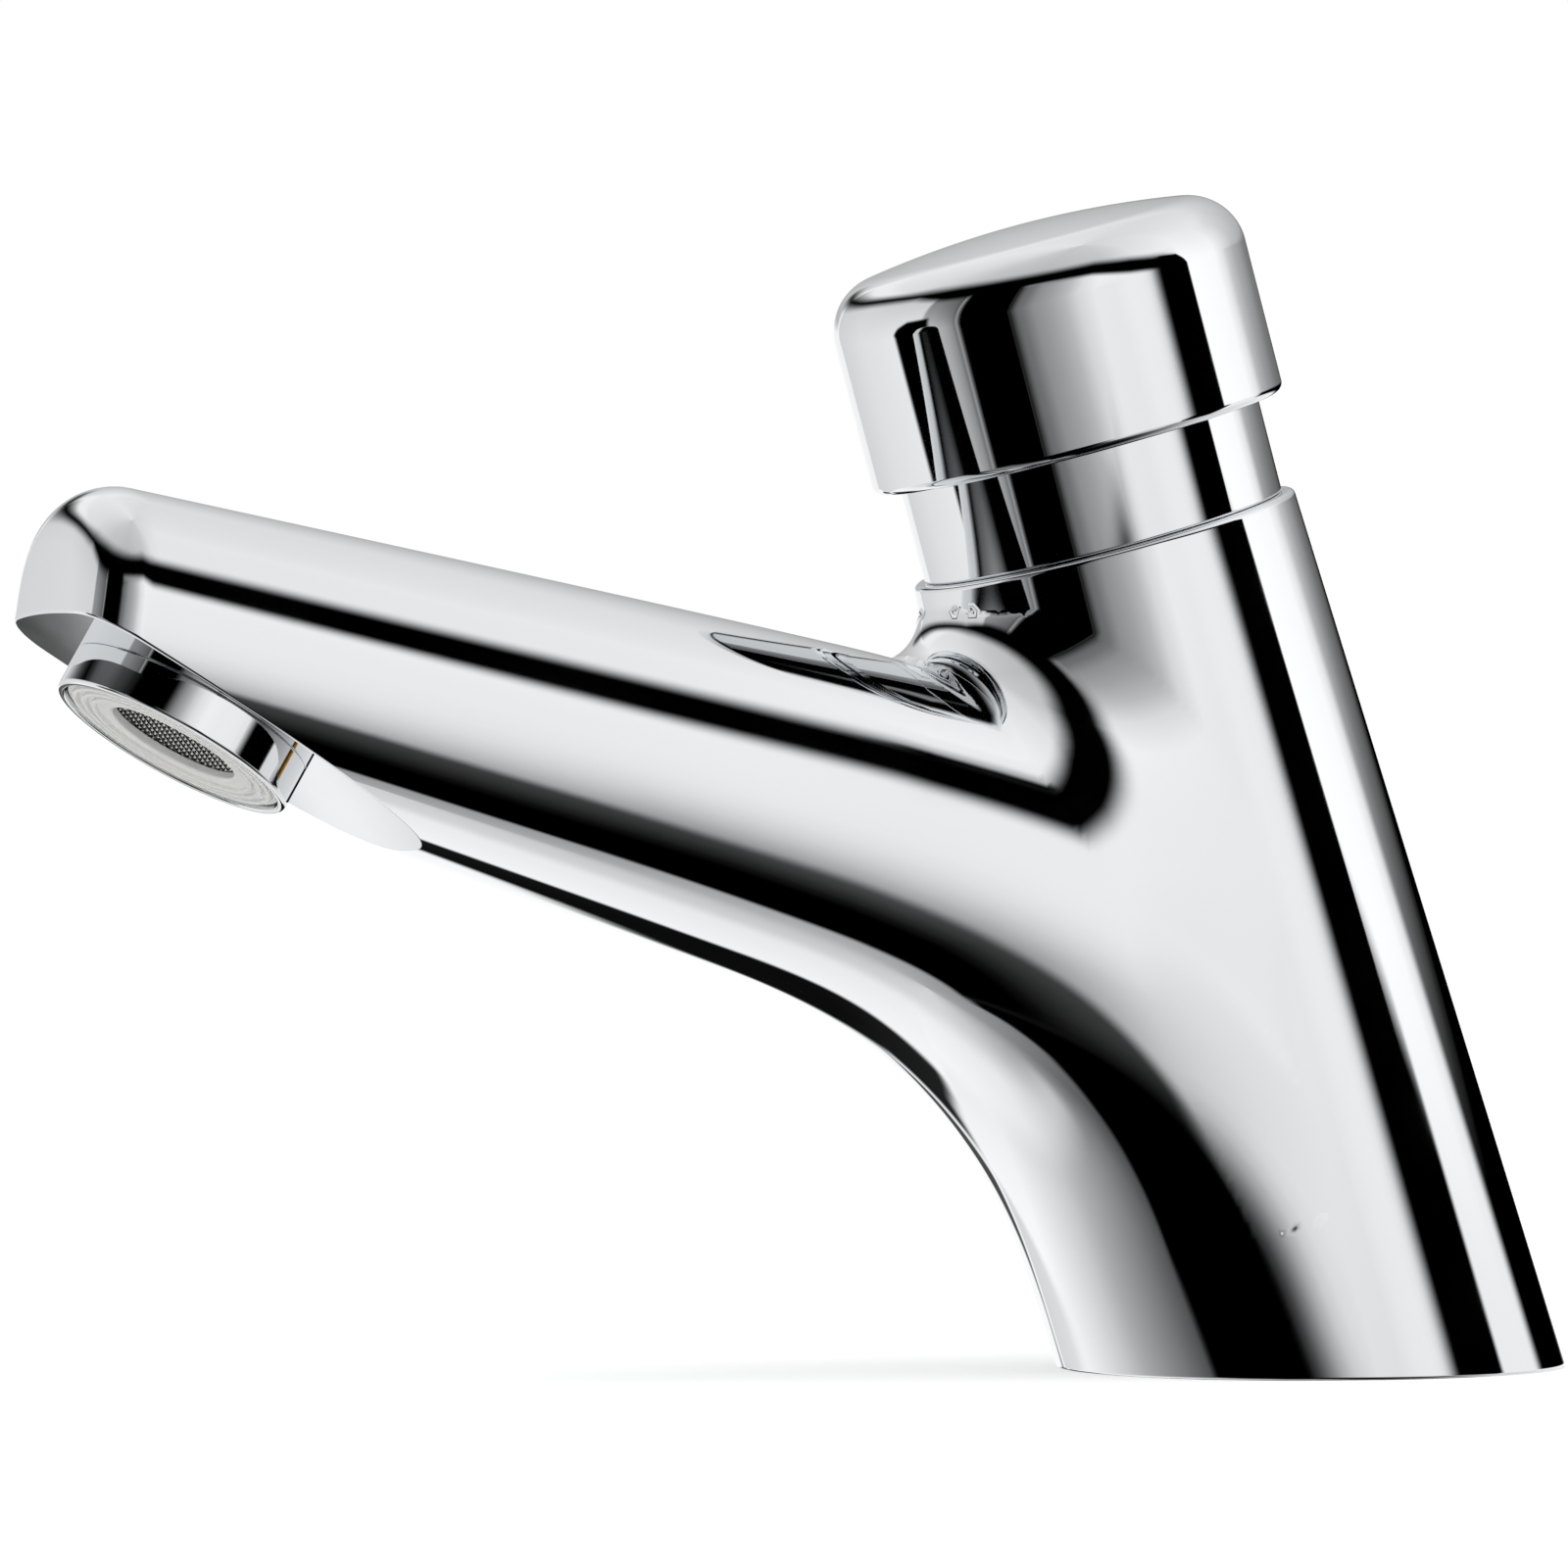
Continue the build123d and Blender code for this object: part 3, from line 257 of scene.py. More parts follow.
class CastForm:
    """The polished outside of the casting: a leaning cone and a swept spout, joined by soft valleys.

    A fullness is the power of the spout's oval section, where 2 is an ellipse and more is squarer.
    """

    foot_fullness = 2.15
    sweep_fullness_gain = 0.55
    nose_fullness_gain = 0.3
    nose_upper_loss = 0.2
    # Share of the straight spout over which its sides start to draw in, and where the form may end
    taper_start = 0.4
    past_nose = 1.15
    cheek_half_width = 14.0

    def __init__(self, sizes):
        self.s = sizes
        self.foot_turn = math.pi / 2 - sizes.foot_slope
        self.nose_turn = math.pi / 2 - sizes.underside_slope
        self.rise = math.tan(sizes.top_slope)
        line_front = -sizes.foot_front - sizes.foot_line * math.sin(self.foot_turn)
        line_top = sizes.foot_line * math.cos(self.foot_turn)
        self.centre_y = line_front - sizes.sweep_radius * math.cos(self.foot_turn)
        self.centre_z = line_top - sizes.sweep_radius * math.sin(self.foot_turn)
        sweep_end = self.centre_y + sizes.sweep_radius * math.cos(self.nose_turn)
        self.shank_run = (sizes.nose_reach + sweep_end) / math.sin(self.nose_turn)
        self.bend_gain = sizes.bend_ease ** 2 / (6 * sizes.sweep_radius)

    def column(self, points):
        along = points @ COLUMN_AXIS
        across = points - along[:, None] * COLUMN_AXIS
        radius = np.linalg.norm(across, axis=1)
        taper = (self.s.top_radius - self.s.foot_radius) / self.s.column_top
        slant = math.hypot(1, taper)
        value = (radius - self.s.foot_radius - taper * along) / slant
        normal = (across / np.maximum(radius, 1e-6)[:, None] - taper * COLUMN_AXIS) / slant
        return value, normal

    def eased_bend(self, along):
        """How much metal is added so that the underside's bend starts softly, and not all at once."""
        reach = self.s.bend_ease
        within = np.clip(along, -reach, reach)
        gain = (within + reach) ** 3 / (12 * reach) - np.maximum(within, 0) ** 2 / 2
        return gain / self.s.sweep_radius

    def spout_value(self, points):
        """Below 1 inside the spout: an oval section that gets squarer towards the nose."""
        s = self.s
        y, z = points[:, 1] - self.centre_y, points[:, 2] - self.centre_z
        turn = np.clip(np.arctan2(z, y), self.foot_turn, self.nose_turn)
        cos, sin = np.cos(turn), np.sin(turn)
        run = z * cos - y * sin
        share = (turn - self.foot_turn) / (self.nose_turn - self.foot_turn)
        sweep_length = s.sweep_radius * (self.nose_turn - self.foot_turn)
        along = sweep_length * share + run
        depth = y * cos + z * sin - s.sweep_radius
        depth = depth + self.eased_bend(along) + self.eased_bend(sweep_length - along) - self.bend_gain
        forward = np.where(share >= 1, np.clip(run / self.shank_run, 0, self.past_nose), 0)
        start = self.taper_start
        forward = np.where(forward < start, forward ** 2 / (2 * start), forward - start / 2) / (1 - start / 2)
        swept = np.clip(share, 0, 1)
        swept = swept + swept ** 2 - swept ** 3
        half_width = s.shin_half_width + (s.root_half_width - s.shin_half_width) * swept
        half_width = half_width + (s.nose_half_width - s.root_half_width) * forward
        below = np.where(share <= 0, np.clip(-run / (2 * s.foot_line), 0, 1.5), 0)
        half_width = half_width + (s.foot_half_width - s.shin_half_width) * below
        to_nose = np.clip(forward, 0, 1)
        lower_fullness = self.foot_fullness + self.sweep_fullness_gain * ease(share)
        lower_fullness = lower_fullness + self.nose_fullness_gain * to_nose
        under_y = self.centre_y + s.sweep_radius * cos - sin * run
        under_z = self.centre_z + s.sweep_radius * sin + cos * run
        top = s.top_height - (under_y + s.top_front) * self.rise
        free_depth = np.maximum((top - under_z) / (sin + cos * self.rise), 1.0)
        full_depth = soft_limit(free_depth, s.elbow_depth, 8)
        across = np.abs(points[:, 0]) / half_width
        upward = np.abs(depth - full_depth / 2) / (full_depth / 2)
        upper_fullness = s.upper_fullness - self.nose_upper_loss * to_nose
        fullness = np.where(depth > full_depth / 2, upper_fullness, lower_fullness)
        return (across ** fullness + upward ** fullness) ** (1 / fullness) - 1

    def spout(self, points, step=0.05):
        value = self.spout_value(points)
        slope = np.empty_like(points)
        for axis, nudge in enumerate(np.eye(3) * step):
            slope[:, axis] = (self.spout_value(points + nudge) - value) / step
        size = np.maximum(np.linalg.norm(slope, axis=1), 1e-3)
        return value / size, slope / size[:, None]

    def nose(self, points):
        s = self.s
        lean = math.tan(s.nose_lean)
        crown = points[:, 0] ** 2 / (2 * s.nose_crown)
        front = -s.nose_reach + (points[:, 2] - s.nose_height) * lean + crown
        slope = np.stack([points[:, 0] / s.nose_crown, np.full(len(points), -1.0),
                          np.full(len(points), lean)], 1)
        size = np.linalg.norm(slope, axis=1)
        return (front - points[:, 1]) / size, slope / size[:, None]

    def metal(self, points):
        """About the distance from the skin, negative inside, and the direction out of the metal."""
        s = self.s
        spout, spout_normal = rolling_ball(*self.spout(points), *self.nose(points), s.nose_round, True)
        column, column_normal = self.column(points)
        turn = likeness(column_normal, spout_normal)
        sideways = ease(np.abs(points[:, 0]) / self.cheek_half_width)
        reach = s.valley_reach + (s.cheek_reach - s.valley_reach) * sideways
        round_here = soft_limit(reach * np.sqrt((1 + turn) / (1 - turn)), s.widest_round, 4)
        return rolling_ball(column, column_normal, spout, spout_normal, round_here, False)

    def normal(self, points, step=0.02):
        slope = np.empty_like(points)
        for axis, nudge in enumerate(np.eye(3) * step):
            slope[:, axis] = self.metal(points + nudge)[0] - self.metal(points - nudge)[0]
        return unit(slope)

    def on_skin(self, points, rounds=4):
        for _ in range(rounds):
            value, normal = self.metal(points)
            points = points - value[:, None] * normal
        return points


def grid_skin(form, low, high, spacing):
    """Points and four-sided faces close to the form's skin, one point in each cell that it crosses."""
    axes = [np.arange(low[k], high[k] + spacing, spacing) for k in range(3)]
    shape = [len(axis) for axis in axes]
    grid = np.stack(np.meshgrid(*axes, indexing="ij"), -1).reshape(-1, 3)
    parts = np.array_split(grid, 24)
    value = np.concatenate([form.metal(part)[0] for part in parts]).reshape(shape)
    inside = value < 0
    corners = np.zeros([n - 1 for n in shape], np.int8)
    for i, j, k in itertools.product((0, 1), repeat=3):
        corners += inside[i:shape[0] - 1 + i, j:shape[1] - 1 + j, k:shape[2] - 1 + k]
    crossed = (corners > 0) & (corners < 8)
    cells = np.argwhere(crossed)
    number = np.full(crossed.shape, -1)
    number[crossed] = np.arange(len(cells))
    total, count = np.zeros((len(cells), 3)), np.zeros(len(cells))
    for axis in range(3):
        others = [k for k in range(3) if k != axis]
        for offset in itertools.product((0, 1), repeat=2):
            start = cells.copy()
            start[:, others] += offset
            end = start.copy()
            end[:, axis] += 1
            here, there = value[tuple(start.T)], value[tuple(end.T)]
            change = (here < 0) != (there < 0)
            spot = start.astype(float)
            spot[:, axis] += np.where(change, here / np.where(change, here - there, 1), 0)
            total[change] += spot[change]
            count[change] += 1
    points = total / count[:, None] * spacing + np.array(low)
    faces = []
    for axis in range(3):
        side, up = (axis + 1) % 3, (axis + 2) % 3
        first, second = [slice(None)] * 3, [slice(None)] * 3
        first[axis], second[axis] = slice(0, -1), slice(1, None)
        before, after = inside[tuple(first)], inside[tuple(second)]
        edges = np.argwhere(before != after)
        ok = (edges[:, side] > 0) & (edges[:, up] > 0)
        ok &= (edges[:, side] < shape[side] - 1) & (edges[:, up] < shape[up] - 1)
        edges = edges[ok]
        ring = []
        for offset in ((0, 0), (1, 0), (1, 1), (0, 1)):
            cell = edges.copy()
            cell[:, [side, up]] -= offset
            ring.append(number[tuple(cell.T)])
        quads = np.stack(ring, 1)
        leaving = before[tuple(edges.T)]
        quads[~leaving] = quads[~leaving][:, ::-1]
        faces.append(quads)
    return points, np.concatenate(faces)


def loops_of(follow):
    """The loops of point numbers in a table that gives the number after each one."""
    loops = []
    while follow:
        start = next(iter(follow))
        loop = [start]
        while loop[-1] in follow:
            step = follow.pop(loop[-1])
            if step == start:
                break
            loop.append(step)
        loops.append(loop)
    return loops


class Skin:
    """A mesh of the casting's skin that planes can be cut from, each cut with a polished round edge."""

    # The level of points that a cut may not reach
    untouched = -100.0
    # How many cells from a plane its round edge is worked out, and points are moved onto that edge
    near_cells, touching_cells = 3, 0.3
    # The fewest points of a rim, and how many millimetres it may lie from its plane
    shortest_rim, rim_band = 30, 2.5

    def __init__(self, form, low, high, spacing):
        self.form = form
        self.spacing = spacing
        points, faces = grid_skin(form, low, high, spacing)
        self.points = form.on_skin(points)
        self.faces = [list(face) for face in faces.tolist()]
        self.edge_points = []

    def cut(self, origin, outward, edge_round, belongs):
        """Cuts away what is outside a plane, and returns the rim that the round leaves on that plane."""
        form = self.form

        def level(points):
            normal = form.normal(points)
            return (points - origin) @ outward + edge_round * (1 - normal @ outward)

        def onto_edge(points):
            for _ in range(5):
                points = form.on_skin(points, 1)
                normal = form.normal(points)
                along = outward - (normal @ outward)[:, None] * normal
                steep = np.maximum((along ** 2).sum(1), 0.02)
                points = points - (level(points) / steep)[:, None] * along
            return form.on_skin(points, 1)

        rough = (self.points - origin) @ outward
        value = np.where(belongs(self.points), rough, self.untouched)
        near = np.abs(value) < self.near_cells * self.spacing
        value[near] = level(self.points[near])
        touching = near & (np.abs(value) < self.touching_cells * self.spacing)
        self.points[touching] = onto_edge(self.points[touching])
        value[touching] = 0
        kept, new_points, made = [], [], {}
        for face in self.faces:
            worth = [value[i] for i in face]
            if min(worth) >= 0:
                continue
            if max(worth) <= 0:
                kept.append(face)
                continue
            loop = []
            for here, there in zip(face, face[1:] + face[:1]):
                if value[here] <= 0:
                    loop.append(here)
                if value[here] * value[there] < 0:
                    key = (min(here, there), max(here, there))
                    if key not in made:
                        share = value[here] / (value[here] - value[there])
                        made[key] = len(self.points) + len(new_points)
                        way = self.points[there] - self.points[here]
                        new_points.append(self.points[here] + share * way)
                    loop.append(made[key])
            if len(loop) > 2:
                kept.append(loop)
        if new_points:
            self.points = np.concatenate([self.points, onto_edge(np.array(new_points))])
        self.faces = kept
        return self.round_over(origin, outward, edge_round, belongs)

    def rim(self, belongs):
        """The one open edge of the mesh that lies in a region, as point numbers in order."""
        ahead = dict.fromkeys(pair for face in self.faces for pair in zip(face, face[1:] + face[:1]))
        loops = loops_of({there: here for here, there in ahead if (there, here) not in ahead})
        loops = [loop for loop in loops
                 if len(loop) > self.shortest_rim and belongs(self.points[loop]).all()]
        if len(loops) != 1:
            raise RuntimeError(f"a cut of the casting left {len(loops)} open edges, and needs one")
        return loops[0]

    def round_over(self, origin, outward, edge_round, belongs, steps=4):
        loop = self.rim(lambda p: belongs(p) & (np.abs((p - origin) @ outward) < self.rim_band))
        skin = self.points[loop]
        normal = self.form.normal(skin)
        centre = skin - edge_round * normal
        turn = np.arccos(np.clip(normal @ outward, -1, 1))
        before = loop
        for step in range(1, steps + 1):
            share = step / steps
            way = unit(np.sin((1 - share) * turn)[:, None] * normal + np.sin(share * turn)[:, None] * outward)
            first = len(self.points)
            self.points = np.concatenate([self.points, centre + edge_round * way])
            after = list(range(first, first + len(loop)))
            self.edge_points.append((after, way))
            for k in range(len(loop)):
                n = (k + 1) % len(loop)
                self.faces.append([before[k], before[n], after[n], after[k]])
            before = after
        return before


def bores_of(node, planes, keep_radius):
    """The bores and pockets of a CAD solid, without its outside, in millimetres.

    The solid's flat faces that the planes give are opened outside the given radius of each plane's
    centre. What then hangs together with the widest point is the outside, and it is left out.
    """
    on_plane, wider = 0.01, 0.2
    mesh = bmesh.new()
    mesh.from_mesh(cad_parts[node].data)
    bmesh.ops.remove_doubles(mesh, verts=mesh.verts, dist=1e-6)
    flat = []
    for face in mesh.faces:
        for (origin, outward), radius in zip(planes, keep_radius):
            offsets = [np.array(v.co) / MM - origin for v in face.verts]
            if max(abs(offset @ outward) for offset in offsets) > on_plane:
                continue
            if max(np.linalg.norm(offset) for offset in offsets) > radius + wider:
                flat.append(face)
    bmesh.ops.delete(mesh, geom=flat, context="FACES_ONLY")
    widest = max(mesh.verts, key=lambda v: v.co.x)
    seen, todo = {widest}, [widest]
    while todo:
        vert = todo.pop()
        for edge in vert.link_edges:
            other = edge.other_vert(vert)
            if other not in seen and edge.link_faces:
                seen.add(other)
                todo.append(other)
    bmesh.ops.delete(mesh, geom=list(seen), context="VERTS")
    loose = [v for v in mesh.verts if not v.link_faces]
    bmesh.ops.delete(mesh, geom=loose, context="VERTS")
    mesh.verts.ensure_lookup_table()
    mesh.verts.index_update()
    points = np.array([v.co for v in mesh.verts]) / MM
    faces = [[v.index for v in face.verts] for face in mesh.faces]
    open_edges = [edge for edge in mesh.edges if len(edge.link_faces) == 1]
    corners = [edge.link_loops[0] for edge in open_edges]
    follow = {corner.link_loop_next.vert.index: corner.vert.index for corner in corners}
    mesh.free()
    return points, faces, loops_of(follow)


def add_object(name, data):
    """Puts an object with that data in the scene."""
    made = bpy.data.objects.new(name, data)
    bpy.context.scene.collection.objects.link(made)
    return made


def add_piece(name, points, faces, body, slot, replaces=(), normals=None, crease=30.0):
    """Makes one named piece from points in millimetres, and lets it ride on a body.

    Where normals are given, they are one for each face corner, and a missing one is left to the mesh.
    """
    mesh = bpy.data.meshes.new(name)
    mesh.from_pydata((np.asarray(points) * MM).tolist(), [], [list(map(int, f)) for f in faces])
    if mesh.validate():
        raise RuntimeError(f"the mesh of {name} has faulty faces")
    mesh.polygons.foreach_set("use_smooth", [True] * len(mesh.polygons))
    mesh.set_sharp_from_angle(angle=math.radians(crease))
    if normals is not None:
        found = np.zeros(len(mesh.loops) * 3, np.float32)
        mesh.corner_normals.foreach_get("vector", found)
        found = found.reshape(-1, 3)
        given = np.asarray(normals, np.float32)
        has = ~np.isnan(given[:, 0])
        found[has] = given[has]
        mesh.normals_split_custom_set(found.tolist())
    piece = add_object(name, mesh)
    mesh.materials.append(finish_for(slot))
    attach(piece, body)
    if replaces:
        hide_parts(*replaces)
    return piece


def rounded(profile, fineness=10.0):
    """The points of a closed profile of (radius, height, round) corners, each round drawn as an arc."""
    corners = [np.array(c[:2], float) for c in profile]
    rounds = [c[2] if len(c) > 2 else 0 for c in profile]
    points = []
    for k, (corner, size) in enumerate(zip(corners, rounds)):
        if not size:
            points.append(corner)
            continue
        before = unit(corners[k - 1] - corner)
        after = unit(corners[(k + 1) % len(corners)] - corner)
        bend = math.acos(np.clip(before @ after, -1, 1))
        reach = size / math.tan(bend / 2)
        centre = corner + unit(before + after) * size / math.sin(bend / 2)
        start, end = corner + before * reach - centre, corner + after * reach - centre
        sweep = math.pi - bend
        count = max(3, int(math.degrees(sweep) / fineness))
        for n in range(count + 1):
            share = n / count
            way = math.sin((1 - share) * sweep) * start + math.sin(share * sweep) * end
            points.append(centre + way / math.sin(sweep))
    return np.array(points)


def circle(radius, height, around):
    """Points round an upright axis."""
    turns = np.arange(around) * 2 * math.pi / around
    return [(radius * math.cos(a), radius * math.sin(a), height) for a in turns]


def turned(profile, around=144, split=35.0):
    """Turns a closed profile of (radius, height) points, given anticlockwise, round its axis.

    Returns points, faces and one normal for each face corner, so that long walls stay straight
    in the reflections and only the rounds between them bend.
    """
    profile = np.asarray(profile, float)
    count = len(profile)
    on_axis = profile[:, 0] < 1e-6
    run = np.roll(profile, -1, axis=0) - profile
    size = np.linalg.norm(run, axis=1)
    out = np.stack([run[:, 1], -run[:, 0]], 1) / np.maximum(size, 1e-9)[:, None]
    start_normal, end_normal = out.copy(), out.copy()
    for k in range(count):
        before = k - 1
        if out[before] @ out[k] > math.cos(math.radians(split)):
            mixed = out[before] * size[before] ** 2 + out[k] * size[k] ** 2
            mixed = mixed / np.linalg.norm(mixed)
            end_normal[before] = mixed
            start_normal[k] = mixed
        if on_axis[k]:
            end_normal[before] = (0, np.sign(out[before, 1]))
            start_normal[k] = (0, np.sign(out[k, 1]))
    angles = np.arange(around) * 2 * math.pi / around
    points, first = [], []
    for radius, height in profile:
        first.append(len(points))
        points += circle(radius, height, around if radius >= 1e-6 else 1)
    faces, normals = [], []

    def lean(normal, a):
        return (normal[0] * math.cos(a), normal[0] * math.sin(a), normal[1])

    for k in range(count):
        n = (k + 1) % count
        if on_axis[k] and on_axis[n]:
            continue
        for i in range(around):
            j = (i + 1) % around
            a, b = angles[i], angles[j]
            start_a, start_b = lean(start_normal[k], a), lean(start_normal[k], b)
            end_a, end_b = lean(end_normal[k], a), lean(end_normal[k], b)
            if on_axis[k]:
                faces.append([first[k], first[n] + j, first[n] + i])
                normals += [lean(start_normal[k], (a + b) / 2), end_b, end_a]
            elif on_axis[n]:
                faces.append([first[k] + i, first[k] + j, first[n]])
                normals += [start_a, start_b, lean(end_normal[k], (a + b) / 2)]
            else:
                faces.append([first[k] + i, first[k] + j, first[n] + j, first[n] + i])
                normals += [start_a, start_b, end_b, end_a]
    return np.array(points, float), faces, np.array(normals, float)


def onto_line(points, line, directions=False):
    """Moves upright points onto a line's origin and direction, or only turns them as directions."""
    origin, axis = line
    across = np.array([1.0, 0.0, 0.0])
    other = np.cross(axis, across)
    moved = points[:, :1] * across + points[:, 1:2] * other + points[:, 2:3] * axis
    return moved if directions else moved + origin


def add_turned(name, profile, line, body, slot, replaces=(), around=144):
    """Makes one turned piece on a line, given as its origin and direction."""
    points, faces, normals = turned(profile, around)
    return add_piece(name, onto_line(points, line), faces, body, slot, replaces,
                     onto_line(normals, line, True))


def linear(hex_colour):
    """An sRGB hex colour as linear red, green, blue and full alpha."""
    shares = [int(hex_colour[k:k + 2], 16) / 255 for k in (1, 3, 5)]
    return tuple(s / 12.92 if s <= 0.04045 else ((s + 0.055) / 1.055) ** 2.4 for s in shares) + (1.0,)


def add_node(tree, kind, settings=None, links=None):
    """Adds one shader node, sets its sockets or properties, and links outputs into its inputs."""
    node = tree.nodes.new(kind)
    for name, value in (settings or {}).items():
        if isinstance(name, int) or name in node.inputs:
            node.inputs[name].default_value = value
        else:
            setattr(node, name, value)
    for name, output in (links or {}).items():
        tree.links.new(output, node.inputs[name])
    return node


def empty_tree(owner):
    """Turns on the nodes of a material or a world, and returns its tree with nothing in it."""
    owner.use_nodes = True
    owner.node_tree.nodes.clear()
    return owner.node_tree


# Each of the record's slots: the material's name, the values of its shader, the span of its roughness,
# the pattern that roughness follows, its relief, and for some the two tints that the pattern mixes.
# A pattern is the size of its lumps in millimetres, its detail and its stretch. A relief is a height in
# millimetres, a strength, and a pattern. Colours are sRGB.
FINISHES = {
    # Bright nickel and chrome plate on buffed brass: a mirror with the faint swell that buffing leaves
    "chrome_plate": (
        "bright_chrome_plate", {"Base Color": "#E9EBED", "Metallic": 1.0, "Roughness": 0.03},
        (0.015, 0.05), (9.0, 4.0), (0.004, 1.0, 14.0, 0.0)),
    # Moulded acetal: waxy and slightly satin, from a spark-eroded tool
    **{slot: (
        name, {"Base Color": colour, "Roughness": 0.38, "IOR": 1.48, "Subsurface Weight": 0.1,
               "Subsurface Radius": (0.001, 0.001, 0.001)},
        (0.32, 0.46), (1.2, 3.0), (0.01, 0.4, 0.35, 2.0))
       for slot, name, colour in (
           ("outlet_plastic", "white_acetal", "#F1F1EE"), ("sleeve_plastic", "natural_acetal", "#E4E1D6"),
           ("piston_plastic", "black_acetal", "#242526"), ("limiter_plastic", "grey_acetal", "#8F959B"))},
    # Turned austenitic stainless steel: cool grey with fine lines round it, drawn 0.25 mm wide to show
    "stainless_steel": (
        "turned_stainless", {"Base Color": "#C4C5C3", "Metallic": 1.0, "Roughness": 0.24},
        (0.18, 0.34), (3.0, 4.0), (0.004, 0.5, 0.25, 1.0, (6, 6, 1))),
    # Drawn spring wire: smooth, darker grey, with faint draw lines, 0.2 mm wide to show
    "steel_wire": (
        "drawn_spring_wire", {"Base Color": "#A9A9A6", "Metallic": 1.0, "Roughness": 0.3},
        (0.22, 0.4), (1.5, 4.0), (0.003, 0.5, 0.2, 1.0, (1, 1, 5))),
    # Zinc-plated mild steel: bluish, with the soft crystal mottle of the plating bath
    "zinc_steel": (
        "zinc_plated_steel", {"Base Color": "#B9BEC4", "Metallic": 1.0, "Roughness": 0.38},
        (0.3, 0.5), (2.5, 5.0), (0.008, 0.5, 0.8, 3.0)),
    # Turned and milled brass, left raw: fine tool lines, duller and browner in patches
    "raw_brass": (
        "turned_brass", {"Base Color": "#D9B668", "Metallic": 1.0, "Roughness": 0.28},
        (0.2, 0.4), (7.0, 4.0), (0.006, 0.5, 0.3, 1.0, (8, 8, 1)), ("#DDBB70", "#B98F49")),
    # Moulded nitrile rubber: nearly black, matt, with a grey bloom
    "seal_rubber": (
        "moulded_rubber", {"Base Color": "#1D1D1E", "Roughness": 0.62, "IOR": 1.52},
        (0.5, 0.75), (4.0, 4.0), (0.015, 0.5, 0.4, 2.0), ("#18181A", "#2B2B2C")),
    # Pressed red vulcanised fibre: dull brick red with a short pressed grain
    "fibre": (
        "vulcanised_fibre", {"Base Color": "#8E3B2E", "Roughness": 0.72, "IOR": 1.5},
        (0.62, 0.85), (0.9, 5.0, (3, 1, 1)), (0.02, 0.5, 0.9, 5.0, (3, 1, 1)), ("#97453A", "#75291F")),
}
# The part of a noise's range that its patterns use
NOISE_SPAN = {"From Min": 0.35, "From Max": 0.65}
made_materials = {}


def make_finish(name, values, roughness, pattern, relief, tints=()):
    material = bpy.data.materials.new(name)
    tree = empty_tree(material)
    values = {**values, "Base Color": linear(values["Base Color"])}
    shader = add_node(tree, "ShaderNodeBsdfPrincipled", values)
    add_node(tree, "ShaderNodeOutputMaterial", links={"Surface": shader.outputs["BSDF"]})

    def noise(size_mm, detail, stretch=(1, 1, 1)):
        place = add_node(tree, "ShaderNodeTexCoord")
        scale = [1 / (size_mm * MM) / s for s in stretch]
        mapped = add_node(tree, "ShaderNodeMapping", {"Scale": scale}, {"Vector": place.outputs["Object"]})
        lumps = add_node(tree, "ShaderNodeTexNoise", {"Scale": 1.0, "Detail": detail},
                         {"Vector": mapped.outputs["Vector"]})
        return lumps.outputs["Fac"]

    followed = noise(*pattern)
    low, high = roughness
    span = add_node(tree, "ShaderNodeMapRange", {**NOISE_SPAN, "To Min": low, "To Max": high},
                    {"Value": followed})
    tree.links.new(span.outputs["Result"], shader.inputs["Roughness"])
    if tints:
        ends = {6: linear(tints[0]), 7: linear(tints[1])}
        tint = add_node(tree, "ShaderNodeMix", {"data_type": "RGBA", **ends}, {"Factor": followed})
        tree.links.new(tint.outputs[2], shader.inputs["Base Color"])
    height_mm, strength, *fine = relief
    bump = add_node(tree, "ShaderNodeBump", {"Strength": strength, "Distance": height_mm * MM},
                    {"Height": noise(*fine)})
    tree.links.new(bump.outputs["Normal"], shader.inputs["Normal"])
    return material


def finish_for(slot):
    """The material of one of the record's slots, made when it is first asked for."""
    if slot not in made_materials:
        made_materials[slot] = make_finish(*FINISHES[slot])
    return made_materials[slot]


